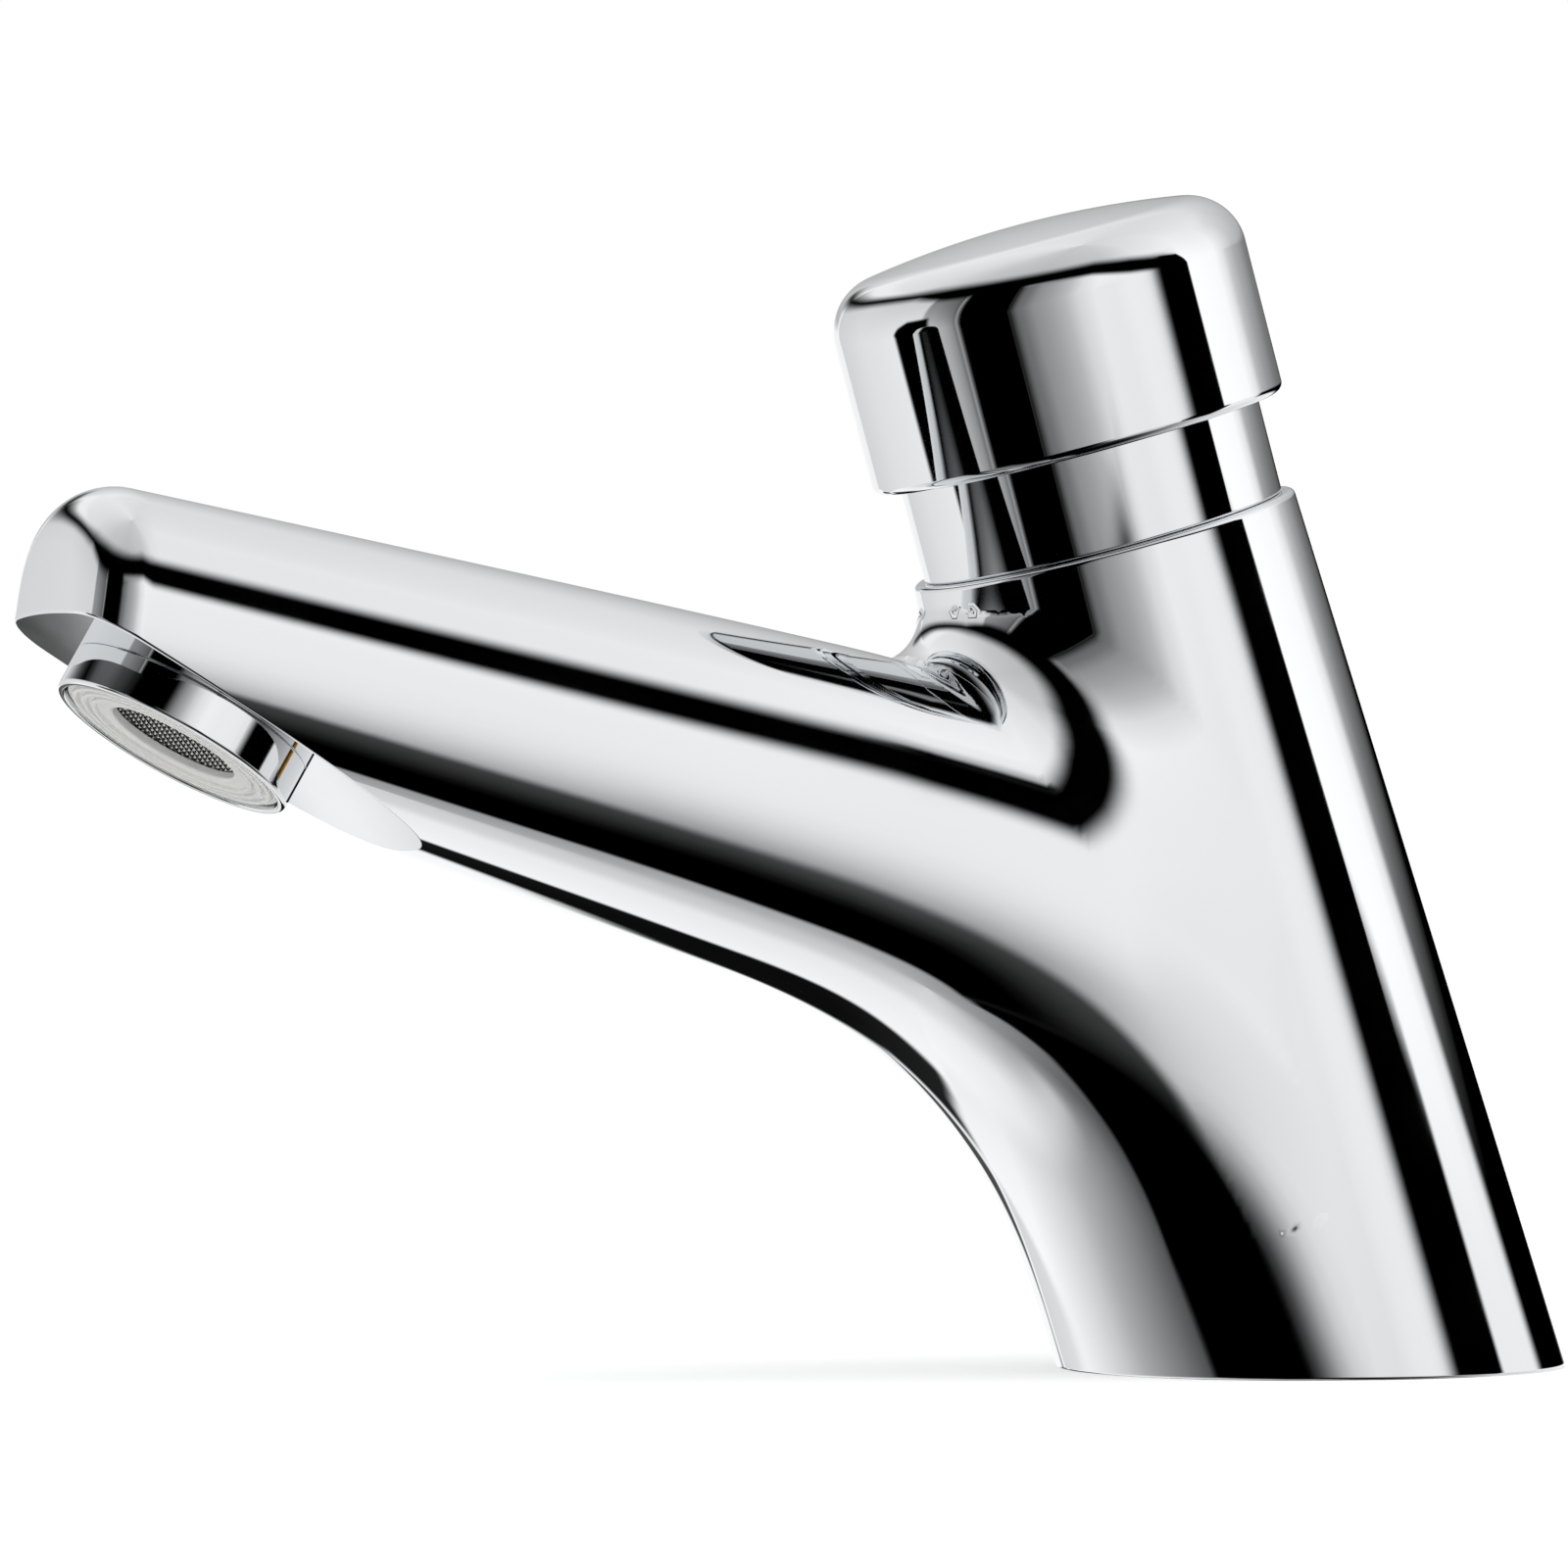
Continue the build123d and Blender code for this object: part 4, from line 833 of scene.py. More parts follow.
class TAP_OT_body(Operator):
    """Casts the body's skin, cuts its deck, top and outlet, and keeps the bores of its solid"""

    bl_idname = "tap.body"
    bl_label = "Tap Body"

    def execute(self, context):
        sizes = millimetres(context.scene.tap_body_sizes)
        outlet = millimetres(context.scene.tap_outlet_sizes)
        grid_low, grid_high = (-26.8, -140.0, -3.2), (26.8, 31.0, 93.5)
        skin = Skin(CastForm(sizes), grid_low, grid_high, sizes.skin_spacing)
        deck = (np.zeros(3), np.array([0.0, 0.0, -1.0]))
        top = (COLUMN_AXIS * sizes.column_top, COLUMN_AXIS)
        flat = (np.array([0.0, -outlet.forward, outlet.height]), OUTLET_AXIS)
        # Where each cut may reach: the foot, the column behind the valley, and the nose
        foot_high, valley_front, valley_height, flat_back = 10.0, -47.0, 76.0, -90.0
        rims = [
            skin.cut(*deck, sizes.polish_round, lambda p: p[:, 2] < foot_high),
            skin.cut(*top, sizes.lip_round,
                     lambda p: p[:, 1] > valley_front - math.tan(LEAN) * (p[:, 2] - valley_height)),
            skin.cut(*flat, sizes.polish_round, lambda p: p[:, 1] < flat_back),
        ]
        planes = [deck, top, flat]
        foot_pocket, column_thread, on_plane = 20.2, 15.1, 0.02
        keep_radius = [foot_pocket, column_thread, outlet.socket]
        bore_points, bore_faces, bore_loops = bores_of("tap_body", planes, keep_radius)
        points = np.concatenate([skin.points, bore_points])
        faces = [list(face) for face in skin.faces]
        shift = len(skin.points)
        skin_faces = len(faces)
        for (origin, outward), rim in zip(planes, rims):
            mouths = []
            for loop in bore_loops:
                if np.abs((bore_points[loop] - origin) @ outward).max() < on_plane:
                    mouths.append([shift + i for i in loop])
            if not mouths:
                raise RuntimeError("a flat face of the casting has no bore to join")
            rings = [rim] + mouths
            numbers = [i for ring in rings for i in ring]
            lines = [[Vector(points[i]) for i in ring] for ring in rings]
            for corners in tessellate_polygon(lines):
                a, b, c = (numbers[i] for i in corners)
                facing = np.cross(points[b] - points[a], points[c] - points[a]) @ outward
                faces.append([a, b, c] if facing > 0 else [a, c, b])
        flat_faces = len(faces)
        faces += [[shift + i for i in face] for face in bore_faces]
        skin_normals = skin.form.normal(skin.points)
        for numbers, way in skin.edge_points:
            skin_normals[numbers] = way
        normals = []
        for number, face in enumerate(faces):
            if number < skin_faces:
                normals += [skin_normals[i] for i in face]
            elif number < flat_faces:
                a, b, c = (points[i] for i in face)
                normals += [unit(np.cross(b - a, c - a))] * 3
            else:
                normals += [(np.nan, np.nan, np.nan)] * len(face)
        used = sorted({i for face in faces for i in face})
        renumbered = {old: new for new, old in enumerate(used)}
        faces = [[renumbered[i] for i in face] for face in faces]
        add_piece("cast_body", points[used], faces, "body", "chrome_plate", ["tap_body"], np.array(normals))
        return {"FINISHED"}


class TAP_OT_collar(Operator):
    """Turns the collar ring between the body and the button"""

    bl_idname = "tap.collar"
    bl_label = "Collar"

    def execute(self, context):
        s = millimetres(context.scene.tap_collar_sizes)
        broken, polished, rim = 0.2, 0.3, 0.4
        profile = rounded([
            (s.bore, s.low, broken), (s.radius, s.low, polished), (s.radius, s.high, rim),
            (s.wide_bore, s.high, polished), (s.wide_bore, s.seat), (s.bore, s.seat, broken)])
        add_turned("turned_collar", profile, COLUMN_LINE, "body", "chrome_plate", ["collar_ring"], FINE_TURN)
        return {"FINISHED"}


class TAP_OT_button(Operator):
    """Turns the domed push button with its threaded skirt"""

    bl_idname = "tap.button"
    bl_label = "Push Button"

    def execute(self, context):
        s = millimetres(context.scene.tap_button_sizes)
        crown_low = s.top - s.crown

        def crown_run(reach, start, end, count):
            radii = np.linspace(start, end, count)
            return [(r, crown_low + math.sqrt(reach * reach - r * r)) for r in radii]

        def shoulder_run(reach, wall, size, count):
            """The round between a wall and the crown, from the wall up."""
            centre_radius = wall - size
            centre_height = crown_low + math.sqrt((reach - size) ** 2 - centre_radius ** 2)
            end = math.atan2(centre_height - crown_low, centre_radius)
            return [(centre_radius + size * math.cos(a), centre_height + size * math.sin(a))
                    for a in np.linspace(0, end, count)]

        inner_edge, above = 0.3, s.low + 6
        edge = rounded([(s.bore, s.low, inner_edge), (s.radius, s.low, s.edge),
                        (s.radius, above), (s.bore, above)], 8)
        edge = [tuple(p) for p in edge][:-2]
        outer = edge + shoulder_run(s.crown, s.radius, s.shoulder, 24)
        outer += crown_run(s.crown, outer[-1][0], 0, 32)[1:]
        inner_reach = s.crown - s.wall
        inner_bore = s.thread - s.ledge
        inner_shoulder = shoulder_run(inner_reach, inner_bore, s.shoulder - s.wall, 12)
        inner = crown_run(inner_reach, 0, inner_shoulder[-1][0], 16) + inner_shoulder[::-1][1:]
        inner += [(inner_bore, s.carrier_high)]
        pitch, depth = 1.0, 0.3
        height = s.carrier_high
        while height - pitch > s.carrier_low:
            inner += [(s.thread, height), (s.thread + depth, height - pitch / 2)]
            height -= pitch
        inner += [(s.thread, height), (s.thread, s.carrier_low), (s.bore, s.carrier_low)]
        add_turned("domed_button", outer + inner, COLUMN_LINE, "button", "chrome_plate", ["push_button"],
                   FINE_TURN)
        return {"FINISHED"}


class TAP_OT_outlet(Operator):
    """Turns the aerator ring and the white nozzle in it, and weaves the gauze"""

    bl_idname = "tap.outlet"
    bl_label = "Outlet"

    def execute(self, context):
        s = millimetres(context.scene.tap_outlet_sizes)
        line = (np.array([0.0, -s.forward, s.height]), OUTLET_AXIS)
        inside, pitch, turns = -8.0, 1.0, 6
        ring = [(s.ring_bore, inside), (s.thread, inside, 0.3), (s.thread, inside + 0.8)]
        for turn in range(turns):
            root = inside + 1.2 + turn * pitch
            ring += [(s.thread - s.thread_depth, root), (s.thread, root + pitch / 2)]
        ring += [(s.thread, 0.0), (s.radius, 0.0, 0.15), (s.radius, s.stand, 0.35), (s.mouth, s.stand, 0.2),
                 (s.mouth, s.seat), (s.ring_bore, s.seat)]
        add_turned("aerator_ring", rounded(ring), line, "body", "chrome_plate", ["aerator_housing"],
                   FINE_TURN)
        bore, tube, tube_low = 7.6, 9.6, -1.9
        profile = [(bore, tube_low), (tube, tube_low, 0.2), (tube, s.seat), (s.flange, s.seat),
                   (s.flange, s.face, 0.2)]
        for share in (0.92, 0.83, 0.74):
            middle, crest, crest_round = share * s.flange, s.face + 0.35, 0.12
            profile += [(middle + 0.27, s.face), (middle + 0.25, crest, crest_round),
                        (middle - 0.25, crest, crest_round), (middle - 0.27, s.face)]
        lip = s.face - 0.8
        profile += [(s.hole, s.face, 0.25), (s.hole, lip), (bore, lip)]
        add_turned("white_nozzle", rounded(profile), line, "body", "outlet_plastic", ["aerator_insert"])
        points, faces = woven_gauze(bore - 0.3, s.gauze_pitch, s.gauze_wire)
        points = onto_line(points + np.array([0, 0, s.gauze_height]), line)
        add_piece("woven_gauze", points, faces, "body", "stainless_steel", ["aerator_mesh"])
        return {"FINISHED"}


def coiled_wire(radius, wire, turns, closed, low, high, around=16, per_turn=48):
    """Winds one round wire from height low to height high, its end turns wound close and ground flat."""
    opening, closed_pitch, ground = 0.5, 1.35 * wire, 0.2 * wire
    steps = turns * per_turn
    turn = np.arange(steps + 1) / per_turn
    from_end = np.minimum(turn, turns - turn)
    open_share = ease((from_end - closed) / opening)
    travel = np.concatenate([[0], np.cumsum((open_share[1:] + open_share[:-1]) / 2 / per_turn)])
    first, last = low + wire / 2 - ground, high - wire / 2 + ground
    spare = last - first - closed_pitch * (turns - travel[-1])
    heights = first + closed_pitch * (turn - travel) + spare * travel / travel[-1]
    angles = turn * 2 * math.pi
    outward = np.stack([np.cos(angles), np.sin(angles), np.zeros_like(angles)], 1)
    centres = outward * radius + heights[:, None] * np.array([0, 0, 1.0])
    raised = np.cross(unit(np.gradient(centres, axis=0)), outward)
    points = np.stack([centres + x * outward + y * raised for x, y, _ in circle(wire / 2, 0, around)], 1)
    points = points.reshape(-1, 3)
    points[:, 2] = np.clip(points[:, 2], low, high)
    faces = []
    for n in range(steps):
        for i in range(around):
            j = (i + 1) % around
            faces.append([n * around + i, n * around + j, (n + 1) * around + j, (n + 1) * around + i])
    faces.append(list(range(around))[::-1])
    faces.append([steps * around + i for i in range(around)])
    return points, faces


class TAP_OT_spring(Operator):
    """Winds the return spring from round wire, and sets round sealing rings in their grooves"""

    bl_idname = "tap.spring"
    bl_label = "Spring and Rings"

    def execute(self, context):
        s = millimetres(context.scene.tap_spring_sizes)
        turns, closed_turns = 6, 0.75
        points, faces = coiled_wire(s.radius, s.wire, turns, closed_turns, s.low, s.high)
        spring = add_piece("wound_spring", onto_line(points, COLUMN_LINE), faces, "body", "steel_wire",
                           ["return_spring"], crease=50.0)
        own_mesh(spring)
        for name, radius, height, node in (
                ("upper_sleeve_ring", s.sleeve_ring, s.upper_ring, "sleeve_seals"),
                ("lower_sleeve_ring", s.sleeve_ring, s.lower_ring, "sleeve_seals"),
                ("stem_ring", s.stem_ring, s.stem_ring_height, "stem_seal")):
            section = [(radius + x, height + y) for x, y, _ in circle(s.ring_section, 0, 20)]
            add_turned(name, section, COLUMN_LINE, "body", "seal_rubber", [node], 96)
        return {"FINISHED"}


def threaded(radius, low, high, pitch, depth, around=96):
    """Cuts a screw thread round an upright wall, with both its ends chamfered down to its root.

    The rows of points follow the helix, so its crests and roots stay sharp. Rows that would pass
    an end lie on it. Returns points, faces, and the numbers of the points round each end.
    """
    # Where each row lies in the pitch, and whether it is on the crest or at the root
    phases = ((0.0, 0), (0.125, 0), (0.4375, 1), (0.6875, 1))
    turns = math.ceil((high - low) / pitch) + 2
    root = radius - depth
    points, number = [], {}

    def point(i, k):
        phase, cut = phases[k % 4]
        height = low + (k // 4 - 1 + phase + i / around) * pitch
        key = (i, "low") if height <= low else (i, "high") if height >= high else (i, k)
        if key not in number:
            height = min(max(height, low), high)
            reach = min(radius - cut * depth, root + height - low, root + high - height)
            turn = i * 2 * math.pi / around
            number[key] = len(points)
            points.append((reach * math.cos(turn), reach * math.sin(turn), height))
        return number[key]

    faces = []
    for k in range(turns * 4):
        for i in range(around):
            last = i == around - 1
            beside, ahead = (0, k + 4) if last else (i + 1, k), (0, k + 5) if last else (i + 1, k + 1)
            face = list(dict.fromkeys([point(i, k), point(*beside), point(*ahead), point(i, k + 1)]))
            if len(face) > 2:
                faces.append(face)
    ends = [[number[(i, end)] for i in range(around)] for end in ("low", "high")]
    return points, faces, ends[0], ends[1]


class TAP_OT_tail(Operator):
    """Cuts the threaded tail: the shank that goes through the deck and the thinner end for the supply"""

    bl_idname = "tap.tail"
    bl_label = "Threaded Tail"

    def execute(self, context):
        s = millimetres(context.scene.tap_tail_sizes)
        around = 96
        points, faces, shank_low, shank_high = threaded(
            s.shank_radius, -s.shank_foot, s.shank_top, s.shank_pitch, s.shank_depth, around)
        end, end_faces, *end_rings = threaded(
            s.end_radius, -s.end_foot, -s.end_top, s.end_pitch, s.end_depth, around)
        moved = [[v + len(points) for v in row] for row in end_faces + end_rings]
        *end_faces, end_low, end_high = moved
        points += end
        faces += end_faces

        def ring(radius, height):
            points.extend(circle(radius, height, around))
            return list(range(len(points) - around, len(points)))

        def join(*rings):
            """Bands of faces from each ring to the next, seen from outside where they run upwards."""
            for below, above in zip(rings, rings[1:]):
                for i in range(around):
                    j = (i + 1) % around
                    faces.append([below[i], below[j], above[j], above[i]])

        join(end_high, ring(s.neck, -s.shank_foot), shank_low)
        recess_low = s.shank_top - s.recess_depth
        join(shank_high, ring(s.recess, s.shank_top), ring(s.recess, recess_low), ring(s.bore, recess_low),
             ring(s.bore, -s.end_foot), end_low)
        add_piece("cut_tail", np.array(points), faces, "body", "raw_brass", ["threaded_tail"], crease=25.0)
        return {"FINISHED"}


def woven_gauze(radius, pitch, wire):
    """A round of plain-woven wire gauze, lying flat at height 0."""
    points, faces = [], []
    sides, steps_per_pitch, fewest_steps = 6, 4, 4
    count = int(radius / pitch)
    for across in (0, 1):
        for number in range(-count, count + 1):
            offset = number * pitch
            reach = math.sqrt(max(radius ** 2 - offset ** 2, 0)) - wire / 2
            if reach < pitch:
                continue
            steps = max(fewest_steps, int(2 * reach / (pitch / steps_per_pitch)))
            first = len(points)
            sign = (1 if number % 2 else -1) * (1 if across else -1)
            for step in range(steps + 1):
                along = -reach + 2 * reach * step / steps
                height = sign * wire * 0.5 * math.cos(math.pi * along / pitch)
                for side in range(sides):
                    turn = 2 * math.pi * side / sides
                    beside, up = offset + wire / 2 * math.cos(turn), height + wire / 2 * math.sin(turn)
                    points.append((beside, along, up) if across else (along, beside, up))
            for step in range(steps):
                for side in range(sides):
                    a = first + step * sides + side
                    b = first + step * sides + (side + 1) % sides
                    quad = [a, b, b + sides, a + sides]
                    faces.append(quad if across else quad[::-1])
            start = [first + side for side in range(sides)]
            end = [first + steps * sides + side for side in range(sides)]
            faces.append(start[::-1] if across else start)
            faces.append(end if across else end[::-1])
    return np.array(points), faces


# Which solids take each of the record's finishes
SLOT_NODES = {
    "chrome_plate": ("tap_body", "collar_ring", "push_button", "aerator_housing"),
    "outlet_plastic": ("aerator_insert",),
    "sleeve_plastic": ("cartridge_sleeve",),
    "piston_plastic": ("timing_piston",),
    "limiter_plastic": ("flow_limiter",),
    "stainless_steel": ("aerator_mesh", "button_nut", "stem", "valve_seat", "valve_screw", "inlet_strainer"),
    "steel_wire": ("return_spring", "piston_clip"),
    "zinc_steel": ("steel_washer",),
    "raw_brass": ("button_carrier", "bonnet", "bleed_screw", "valve_holder", "threaded_tail", "backnut"),
    "seal_rubber": ("stem_seal", "sleeve_seals", "valve_washer", "piston_lip_seal", "foot_seal",
                    "rubber_washer", "aerator_washer"),
    "fibre": ("bonnet_seal", "tail_seal"),
}


class TAP_OT_finishes(Operator):
    """Gives every solid that stays its own finish"""

    bl_idname = "tap.finishes"
    bl_label = "Finishes"

    def execute(self, context):
        slots = {node: slot for slot, nodes in SLOT_NODES.items() for node in nodes}
        for name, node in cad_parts.items():
            if name not in slots:
                raise RuntimeError(f"{name} has no finish")
            material = finish_for(slots[name])
            node.data.materials.clear()
            node.data.materials.append(material)
        return {"FINISHED"}


# What the chrome mirrors, as cards of grey round the tap. Each has how softly its edges end in degrees
# (low, high, west and east), and then its stations: azimuth, low and high elevation, and low and high
# grey, which are left out where they are black.
CARDS = [
    ("ceiling", (6, 0, 0, 0), [
        (-180, 36, 90, 0.98, 0.97), (-130, 36, 90, 0.93, 0.93), (-85, 36, 90, 0.8, 0.88),
        (-40, 36, 90, 0.76, 0.85), (0, 36, 90, 0.82, 0.87), (24, 36, 90, 0.98, 0.9),
        (60, 36, 90, 1.05, 0.9), (100, 36, 90, 1.0, 0.9), (140, 36, 90, 0.92, 0.93),
        (180, 36, 90, 0.98, 0.97)]),
    ("back_wall", (5, 12, 5, 6), [
        (50, 6, 52, 1.12, 1.0), (84, 6, 52, 1.08, 0.98), (108, 6, 52, 0.75, 0.95),
        (126, 6, 52, 0.66, 0.95), (150, 6, 52, 0.66, 1.0), (180, 4, 52, 0.74, 1.06)]),
    ("left_wall", (2, 6, 0, 4), [
        (-180, -26, 32, 0.9, 0.84), (-150, -26, 34, 0.97, 0.88), (-96, -26, 36, 1.04, 0.82)]),
    ("left_grey", (2, 6, 3, 2), [
        (-100, -26, 36, 0.86, 0.5), (-92, -26, 36, 0.84, 0.45), (-84, -26, 36, 0.74, 0.36),
        (-76, -26, 36, 0.54, 0.3)]),
    ("low_ground", (0, 3, 0, 0), [
        (-180, -90, -20, 0.88, 1.04), (-164, -90, -20, 0.88, 1.06), (-150, -90, -20, 0.86, 1.0),
        (-138, -90, -20, 0.85, 0.94), (-125, -90, -20, 0.84, 0.85), (-110, -90, -20, 0.82, 0.7),
        (-95, -90, -20, 0.8, 0.58), (-80, -90, -20, 0.78, 0.45), (-66, -90, -20, 0.75, 0.3),
        (-50, -90, -18, 0.72, 0.0), (-10, -90, -16, 0.7, 0.2), (60, -90, -14, 0.72, 0.9),
        (120, -90, -6, 0.8, 1.0), (180, -90, -6, 0.88, 1.04)]),
    ("low_bright", (16, 12, 0, 20), [
        (-180, -78, -34, 1.0, 1.06), (-140, -78, -44, 0.98, 1.0), (-100, -76, -50, 0.92, 0.82),
        (-60, -76, -58, 0.8, 0.76)]),
    ("low_bright_east", (14, 8, 4, 0), [
        (140, -76, -30, 0.95, 1.0), (180, -78, -26, 1.0, 1.05)]),
    ("gradient_panel", (8, 8, 1, 6), [
        (-46, -26, 30, 0.4, 0.4), (-38, -26, 30, 0.48, 0.46), (-32, -26, 30, 0.6, 0.6),
        (-23, -26, 30, 0.67, 0.7), (-15, -26, 30, 0.75, 0.82), (-8, -26, 30, 0.88, 0.96),
        (1, -30, 30, 0.96, 1.04), (12, -34, 30, 0.94, 1.03), (20, -34, 30, 0.98, 1.02),
        (28, -34, 30, 1.0, 1.0), (36, -34, 30, 1.0, 0.9)]),
    ("floor_shade", (4, 56, 8, 20), [
        (-18, -80, -12), (-6, -80, 0), (12, -80, 4), (30, -80, 2), (48, -80, -8), (74, -80, -22),
        (110, -80, -50)]),
    ("floor_card", (6, 1, 6, 13), [
        (-66, -30, -20), (-54, -48, -18), (-45, -58, -17), (-37, -64, -16), (-33, -66, -14.5),
        (-29, -70, -12.9), (-25, -74, -11.9), (-20, -80, -10.2), (-16, -80, -8.8), (-8, -80, -6),
        (-2, -80, -3)]),
    ("thin_flag", (3, 5, 3, 3), [
        (-122, -26, -13), (-116, -26, -2), (-109, -26, 4.5), (-93, -26, 4.5)]),
    ("side_flag", (3, 4, 6, 6), [
        (-80, -22, 34), (-40, -34, 34)]),
    ("right_flag", (4, 3, 10, 3), [
        (31, -2, 30), (40, -20, 32), (52, -24, 29), (57, -24, 20), (61, -24, 11), (68, -24, 10)]),
    ("far_flag", (5, 10, 8, 6), [
        (91, -6, 17), (154, -6, 15)]),
    ("under_line", (4, 3, 6, 4), [
        (144, -30, -7), (158, -36, -10, 0.05, 0.05), (162, -36, -15, 0.05, 0.05),
        (167, -36, -20, 0.1, 0.1), (180, -36, -21, 0.15, 0.15)]),
    ("nose_card", (2, 2, 2, 2), [
        (164, -20.5, -12, 0.3, 0.3), (178, -20.5, -12, 0.3, 0.3)]),
    ("long_flag", (9, 14, 0, 5), [
        (-180, 13, 29), (-164, 18, 33), (-148, 22, 39), (-132, 25, 44), (-116, 27, 50), (-92, 21, 53),
        (-60, 20, 54), (-30, 21, 54), (-4, 20, 54), (12, 13, 49), (20, 10, 47), (30, 8, 43), (44, 4, 38),
        (54, 6, 30)]),
    ("long_flag_west", (8, 8, 5, 0), [
        (166, 13, 26, 0.5, 0.5), (180, 13, 28)]),
]


def card_grid(stations, softness, step=3.0, fine=11):
    """Directions in azimuth and elevation, grey and cover at each point of a card's grid."""
    soft_low, soft_high, soft_west, soft_east = softness
    table = np.array([row if len(row) == 5 else (*row, 0, 0) for row in stations], float)
    west, east = table[0, 0], table[-1, 0]
    azimuths = np.linspace(west, east, max(3, int((east - west) / step)) + 1)
    azimuths = np.union1d(azimuths, table[:, 0])
    for soft, edge in ((soft_west, west), (-soft_east, east)):
        azimuths = np.union1d(azimuths, np.linspace(edge, edge + soft, 6))
    low, high, low_grey, high_grey = (
        np.interp(azimuths, table[:, 0], table[:, k]) for k in (1, 2, 3, 4))
    span = high - low
    shares = np.linspace(0, 1, fine)
    rise = np.minimum(soft_low, span / 2)[:, None] * shares
    fall = np.minimum(soft_high, span - rise[:, -1])[:, None] * shares[::-1]
    middle = np.linspace(low + rise[:, -1], high - fall[:, 0], 8, axis=1)[:, 1:-1]
    elevations = np.concatenate([low[:, None] + rise, middle, high[:, None] - fall], 1)
    share_up = (elevations - low[:, None]) / span[:, None]
    grey = low_grey[:, None] + (high_grey - low_grey)[:, None] * share_up
    cover = np.ones_like(elevations)
    if soft_low:
        cover[:, :fine] *= ease(shares)
    if soft_high:
        cover[:, -fine:] *= ease(shares[::-1])
    for soft, gone in ((soft_west, azimuths - west), (soft_east, east - azimuths)):
        if soft:
            cover *= ease(gone / soft)[:, None]
    return azimuths, elevations, grey, cover


def looked_at(tree):
    """Is 1 on rays that come from the camera, straight or by way of mirrors and glass, and 0 on others."""
    rays = add_node(tree, "ShaderNodeLightPath")
    seen = rays.outputs["Is Camera Ray"]
    for kind in ("Is Glossy Ray", "Is Transmission Ray"):
        either = add_node(tree, "ShaderNodeMath", {"operation": "MAXIMUM"}, {0: seen, 1: rays.outputs[kind]})
        seen = either.outputs[0]
    return seen


class TAP_OT_stage(Operator):
    """Sets up the floor, the studio cards, the lamp and the camera"""

    bl_idname = "tap.stage"
    bl_label = "Stage"

    def execute(self, context):
        scene = context.scene
        settings = scene.tap_stage
        white = linear(settings.backdrop)
        self.lay_floor(white)
        self.light_room(scene, white)

        card = bpy.data.materials.new("studio_card")
        tree = empty_tree(card)
        tone = add_node(tree, "ShaderNodeAttribute", {"attribute_name": "tone"})
        glow = add_node(tree, "ShaderNodeEmission", {"Strength": 1.0}, {"Color": tone.outputs["Color"]})
        clear = add_node(tree, "ShaderNodeBsdfTransparent")
        mixed = add_node(tree, "ShaderNodeMixShader", links={
            0: tone.outputs["Alpha"], 1: clear.outputs[0], 2: glow.outputs[0]})
        add_node(tree, "ShaderNodeOutputMaterial", links={"Surface": mixed.outputs[0]})
        for number, (name, softness, stations) in enumerate(CARDS):
            add_card(name, stations, softness, settings.card_distance - settings.card_step * number, card)

        camera = bpy.data.cameras.new("camera")
        camera.lens = 164.88
        camera.sensor_width = 36.0
        camera.clip_start = 0.01
        camera_object = add_object("camera", camera)
        # Where the photograph was taken from and which way, fitted to the round rims that it shows
        place = Vector((0.623640, -0.367920, 0.043959))
        forward = Vector((-0.89635, 0.44290, 0.02001)).normalized()
        right = forward.cross(Vector((0, 0, 1))).normalized()
        turn = Matrix((right, right.cross(forward), -forward)).transposed()
        camera_object.matrix_world = Matrix.Translation(place) @ turn.to_4x4()
        scene.camera = camera_object
        scene.view_settings.view_transform = "Standard"
        return {"FINISHED"}

    @staticmethod
    def lay_floor(white):
        """A pale floor that glows a little where it is looked at, so that it ends white under its shadow."""
        half, glow_strength = 3.0, 0.48
        mesh = bpy.data.meshes.new("floor")
        corners = [(-half, -half, 0), (half, -half, 0), (half, half, 0), (-half, half, 0)]
        mesh.from_pydata(corners, [], [(0, 1, 2, 3)])
        floor = add_object("floor", mesh)
        floor.visible_glossy = False
        material = bpy.data.materials.new("pale_floor")
        tree = empty_tree(material)
        paint = add_node(tree, "ShaderNodeBsdfDiffuse", {"Color": linear("#E0E0E0")})
        lift = add_node(tree, "ShaderNodeMath", {"operation": "MULTIPLY", 1: glow_strength},
                        {0: looked_at(tree)})
        glow = add_node(tree, "ShaderNodeEmission", {"Color": white}, {"Strength": lift.outputs[0]})
        both = add_node(tree, "ShaderNodeAddShader", links={0: paint.outputs[0], 1: glow.outputs[0]})
        add_node(tree, "ShaderNodeOutputMaterial", links={"Surface": both.outputs[0]})
        mesh.materials.append(material)

    @staticmethod
    def light_room(scene, white):
        """A white room that gives soft light, and one large lamp over the tap for its shadow."""
        world = bpy.data.worlds.new("soft_studio")
        scene.world = world
        tree = empty_tree(world)
        light = add_node(tree, "ShaderNodeBackground", {"Color": linear("#F4F4F4"), "Strength": 0.75})
        shown = add_node(tree, "ShaderNodeBackground", {"Color": white, "Strength": 1.0})
        mixed = add_node(tree, "ShaderNodeMixShader", links={
            0: looked_at(tree), 1: light.outputs[0], 2: shown.outputs[0]})
        add_node(tree, "ShaderNodeOutputWorld", links={"Surface": mixed.outputs[0]})
        panel = bpy.data.lights.new("key_lamp", "AREA")
        panel.shape = "RECTANGLE"
        panel.size = panel.size_y = 1.2
        panel.energy = 14.0
        lamp = add_object("key_lamp", panel)
        lamp.location = (0.5, -0.9, 1.6)
        aim = Vector((0, -0.05, 0.05)) - lamp.location
        lamp.rotation_euler = aim.to_track_quat("-Z", "Y").to_euler()
        lamp.visible_glossy = False


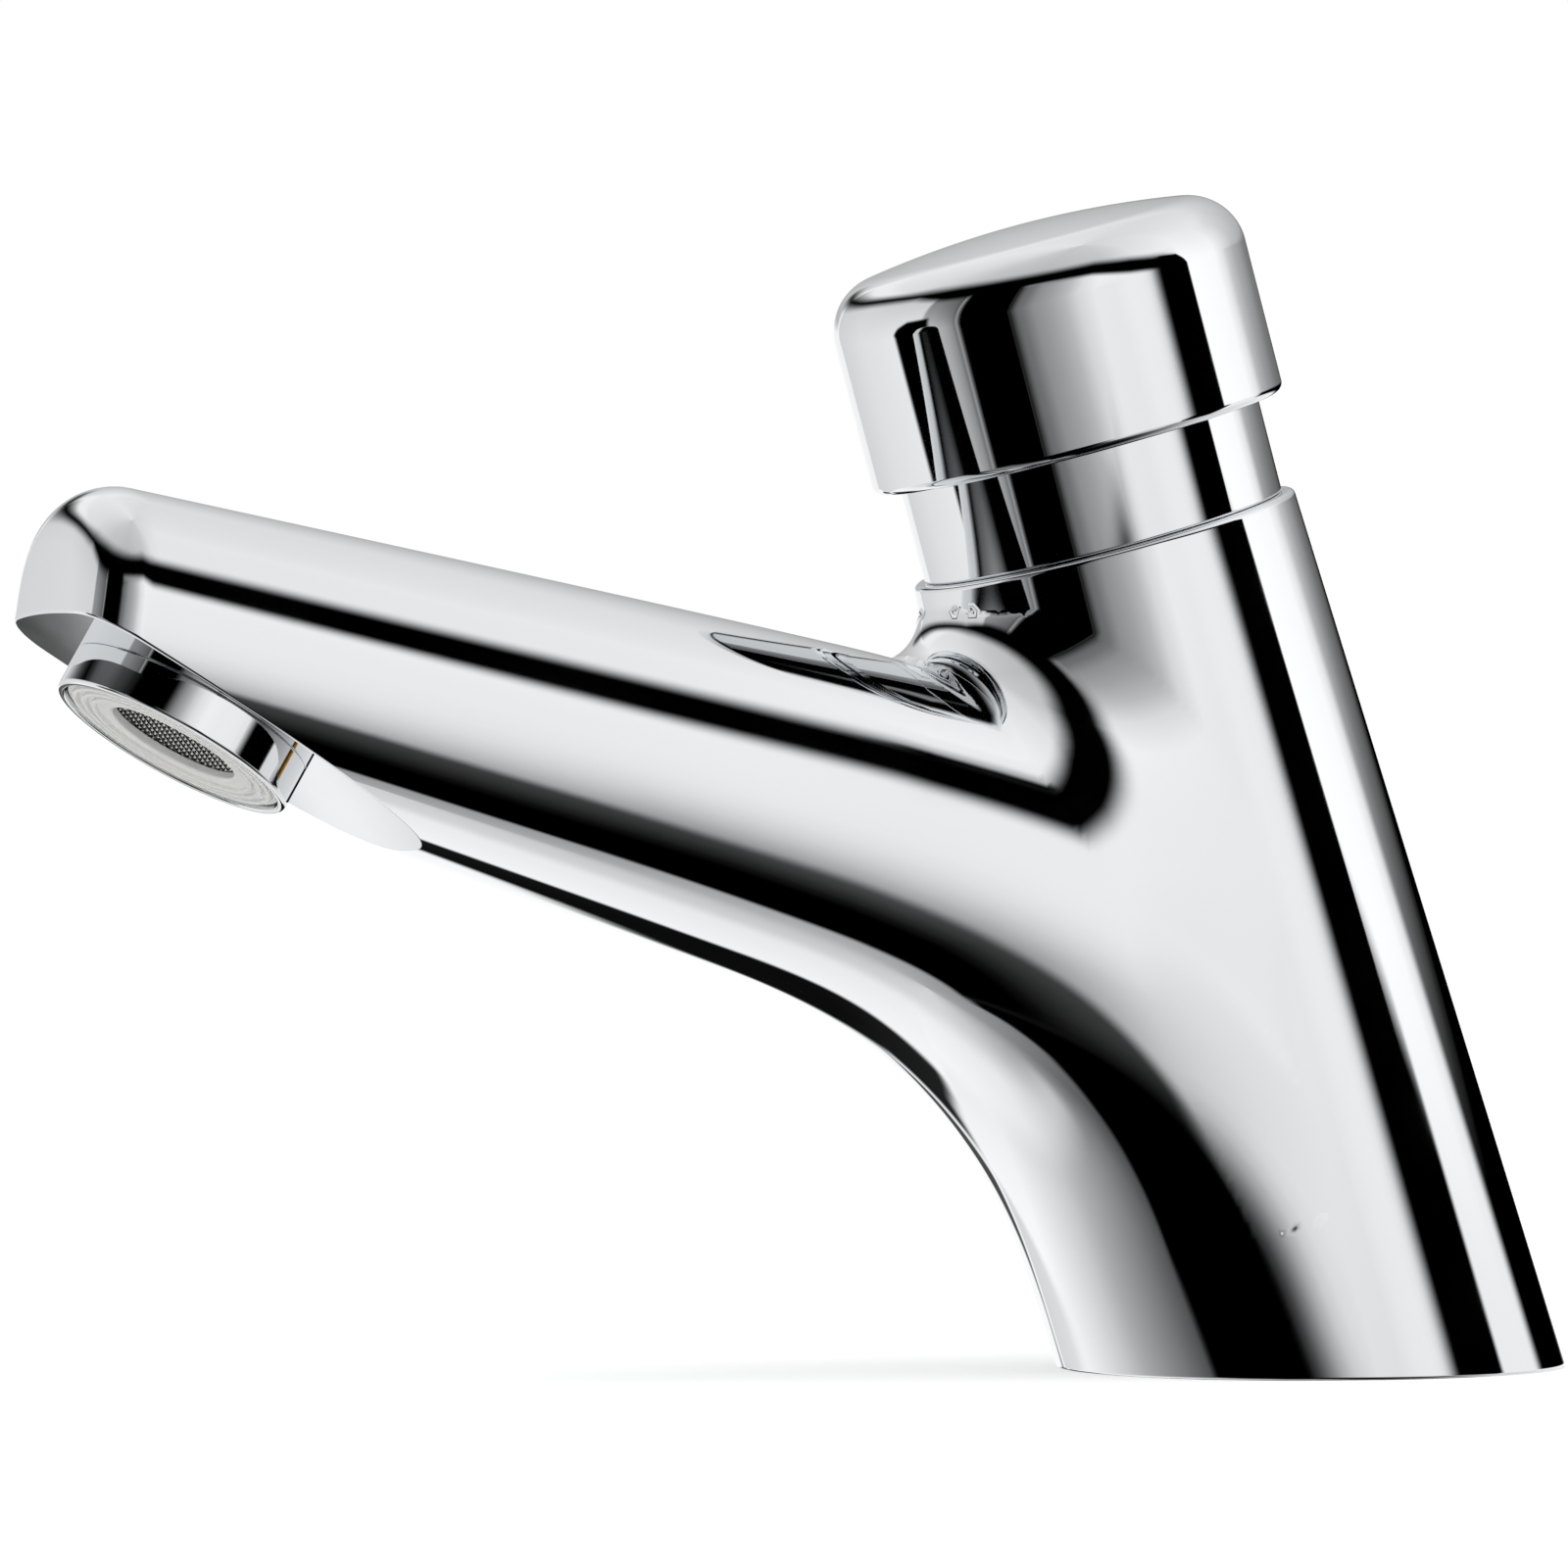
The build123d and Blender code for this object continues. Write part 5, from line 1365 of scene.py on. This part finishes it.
def add_card(name, stations, softness, distance, material):
    """One card of the studio, as a patch of a large sphere, seen only in reflections."""
    centre = np.array([0.0, -0.05, 0.06])
    azimuths, elevations, grey, cover = card_grid(stations, softness)
    around = np.radians(azimuths)[:, None]
    up = np.radians(elevations)
    ways = np.stack([np.cos(around) * np.cos(up), np.sin(around) * np.cos(up), np.sin(up)], -1)
    points = (centre + distance * ways).reshape(-1, 3)
    columns, rows = elevations.shape
    starts = [a * rows + b for a in range(columns - 1) for b in range(rows - 1)]
    faces = [[k, k + rows, k + rows + 1, k + 1] for k in starts]
    light = np.where(grey <= 0.04045, grey / 12.92, ((grey + 0.055) / 1.055) ** 2.4)
    tones = np.stack([light, light, light, cover], -1).reshape(-1)
    mesh = bpy.data.meshes.new(name)
    mesh.from_pydata(points.tolist(), [], faces)
    mesh.color_attributes.new("tone", "FLOAT_COLOR", "POINT").data.foreach_set("color", tones)
    mesh.materials.append(material)
    card = add_object(name, mesh)
    card.visible_camera = card.visible_diffuse = False
    card.visible_transmission = card.visible_shadow = False


class TAP_PT_panel(Panel):
    """Lists the tap's pieces in the sidebar"""

    bl_idname = "TAP_PT_panel"
    bl_label = "Push Timed Tap"
    bl_space_type = "VIEW_3D"
    bl_region_type = "UI"
    bl_category = "Tap"

    def draw(self, context):
        for operator in OPERATORS:
            self.layout.operator(operator.bl_idname)
        for group in GROUPS:
            box = self.layout.box()
            values = getattr(context.scene, group)
            for name in values.__annotations__:
                box.prop(values, name)


OPERATORS = (TAP_OT_finishes, TAP_OT_body, TAP_OT_collar, TAP_OT_button, TAP_OT_outlet, TAP_OT_spring,
             TAP_OT_tail, TAP_OT_stage)
GROUPS = {
    "tap_body_sizes": TapBodySizes,
    "tap_collar_sizes": CollarSizes,
    "tap_button_sizes": ButtonSizes,
    "tap_outlet_sizes": OutletSizes,
    "tap_spring_sizes": SpringSizes,
    "tap_tail_sizes": TailSizes,
    "tap_stage": TapStage,
}


def register():
    for name, group in GROUPS.items():
        bpy.utils.register_class(group)
        setattr(bpy.types.Scene, name, PointerProperty(type=group))
    for operator in OPERATORS:
        bpy.utils.register_class(operator)
    bpy.utils.register_class(TAP_PT_panel)


def unregister():
    bpy.utils.unregister_class(TAP_PT_panel)
    for operator in reversed(OPERATORS):
        bpy.utils.unregister_class(operator)
    for name, group in reversed(GROUPS.items()):
        delattr(bpy.types.Scene, name)
        bpy.utils.unregister_class(group)


def main():
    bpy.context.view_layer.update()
    register()
    for operator in OPERATORS:
        group, name = operator.bl_idname.split(".")
        getattr(getattr(bpy.ops, group), name)()


if __name__ == "__main__":
    main()
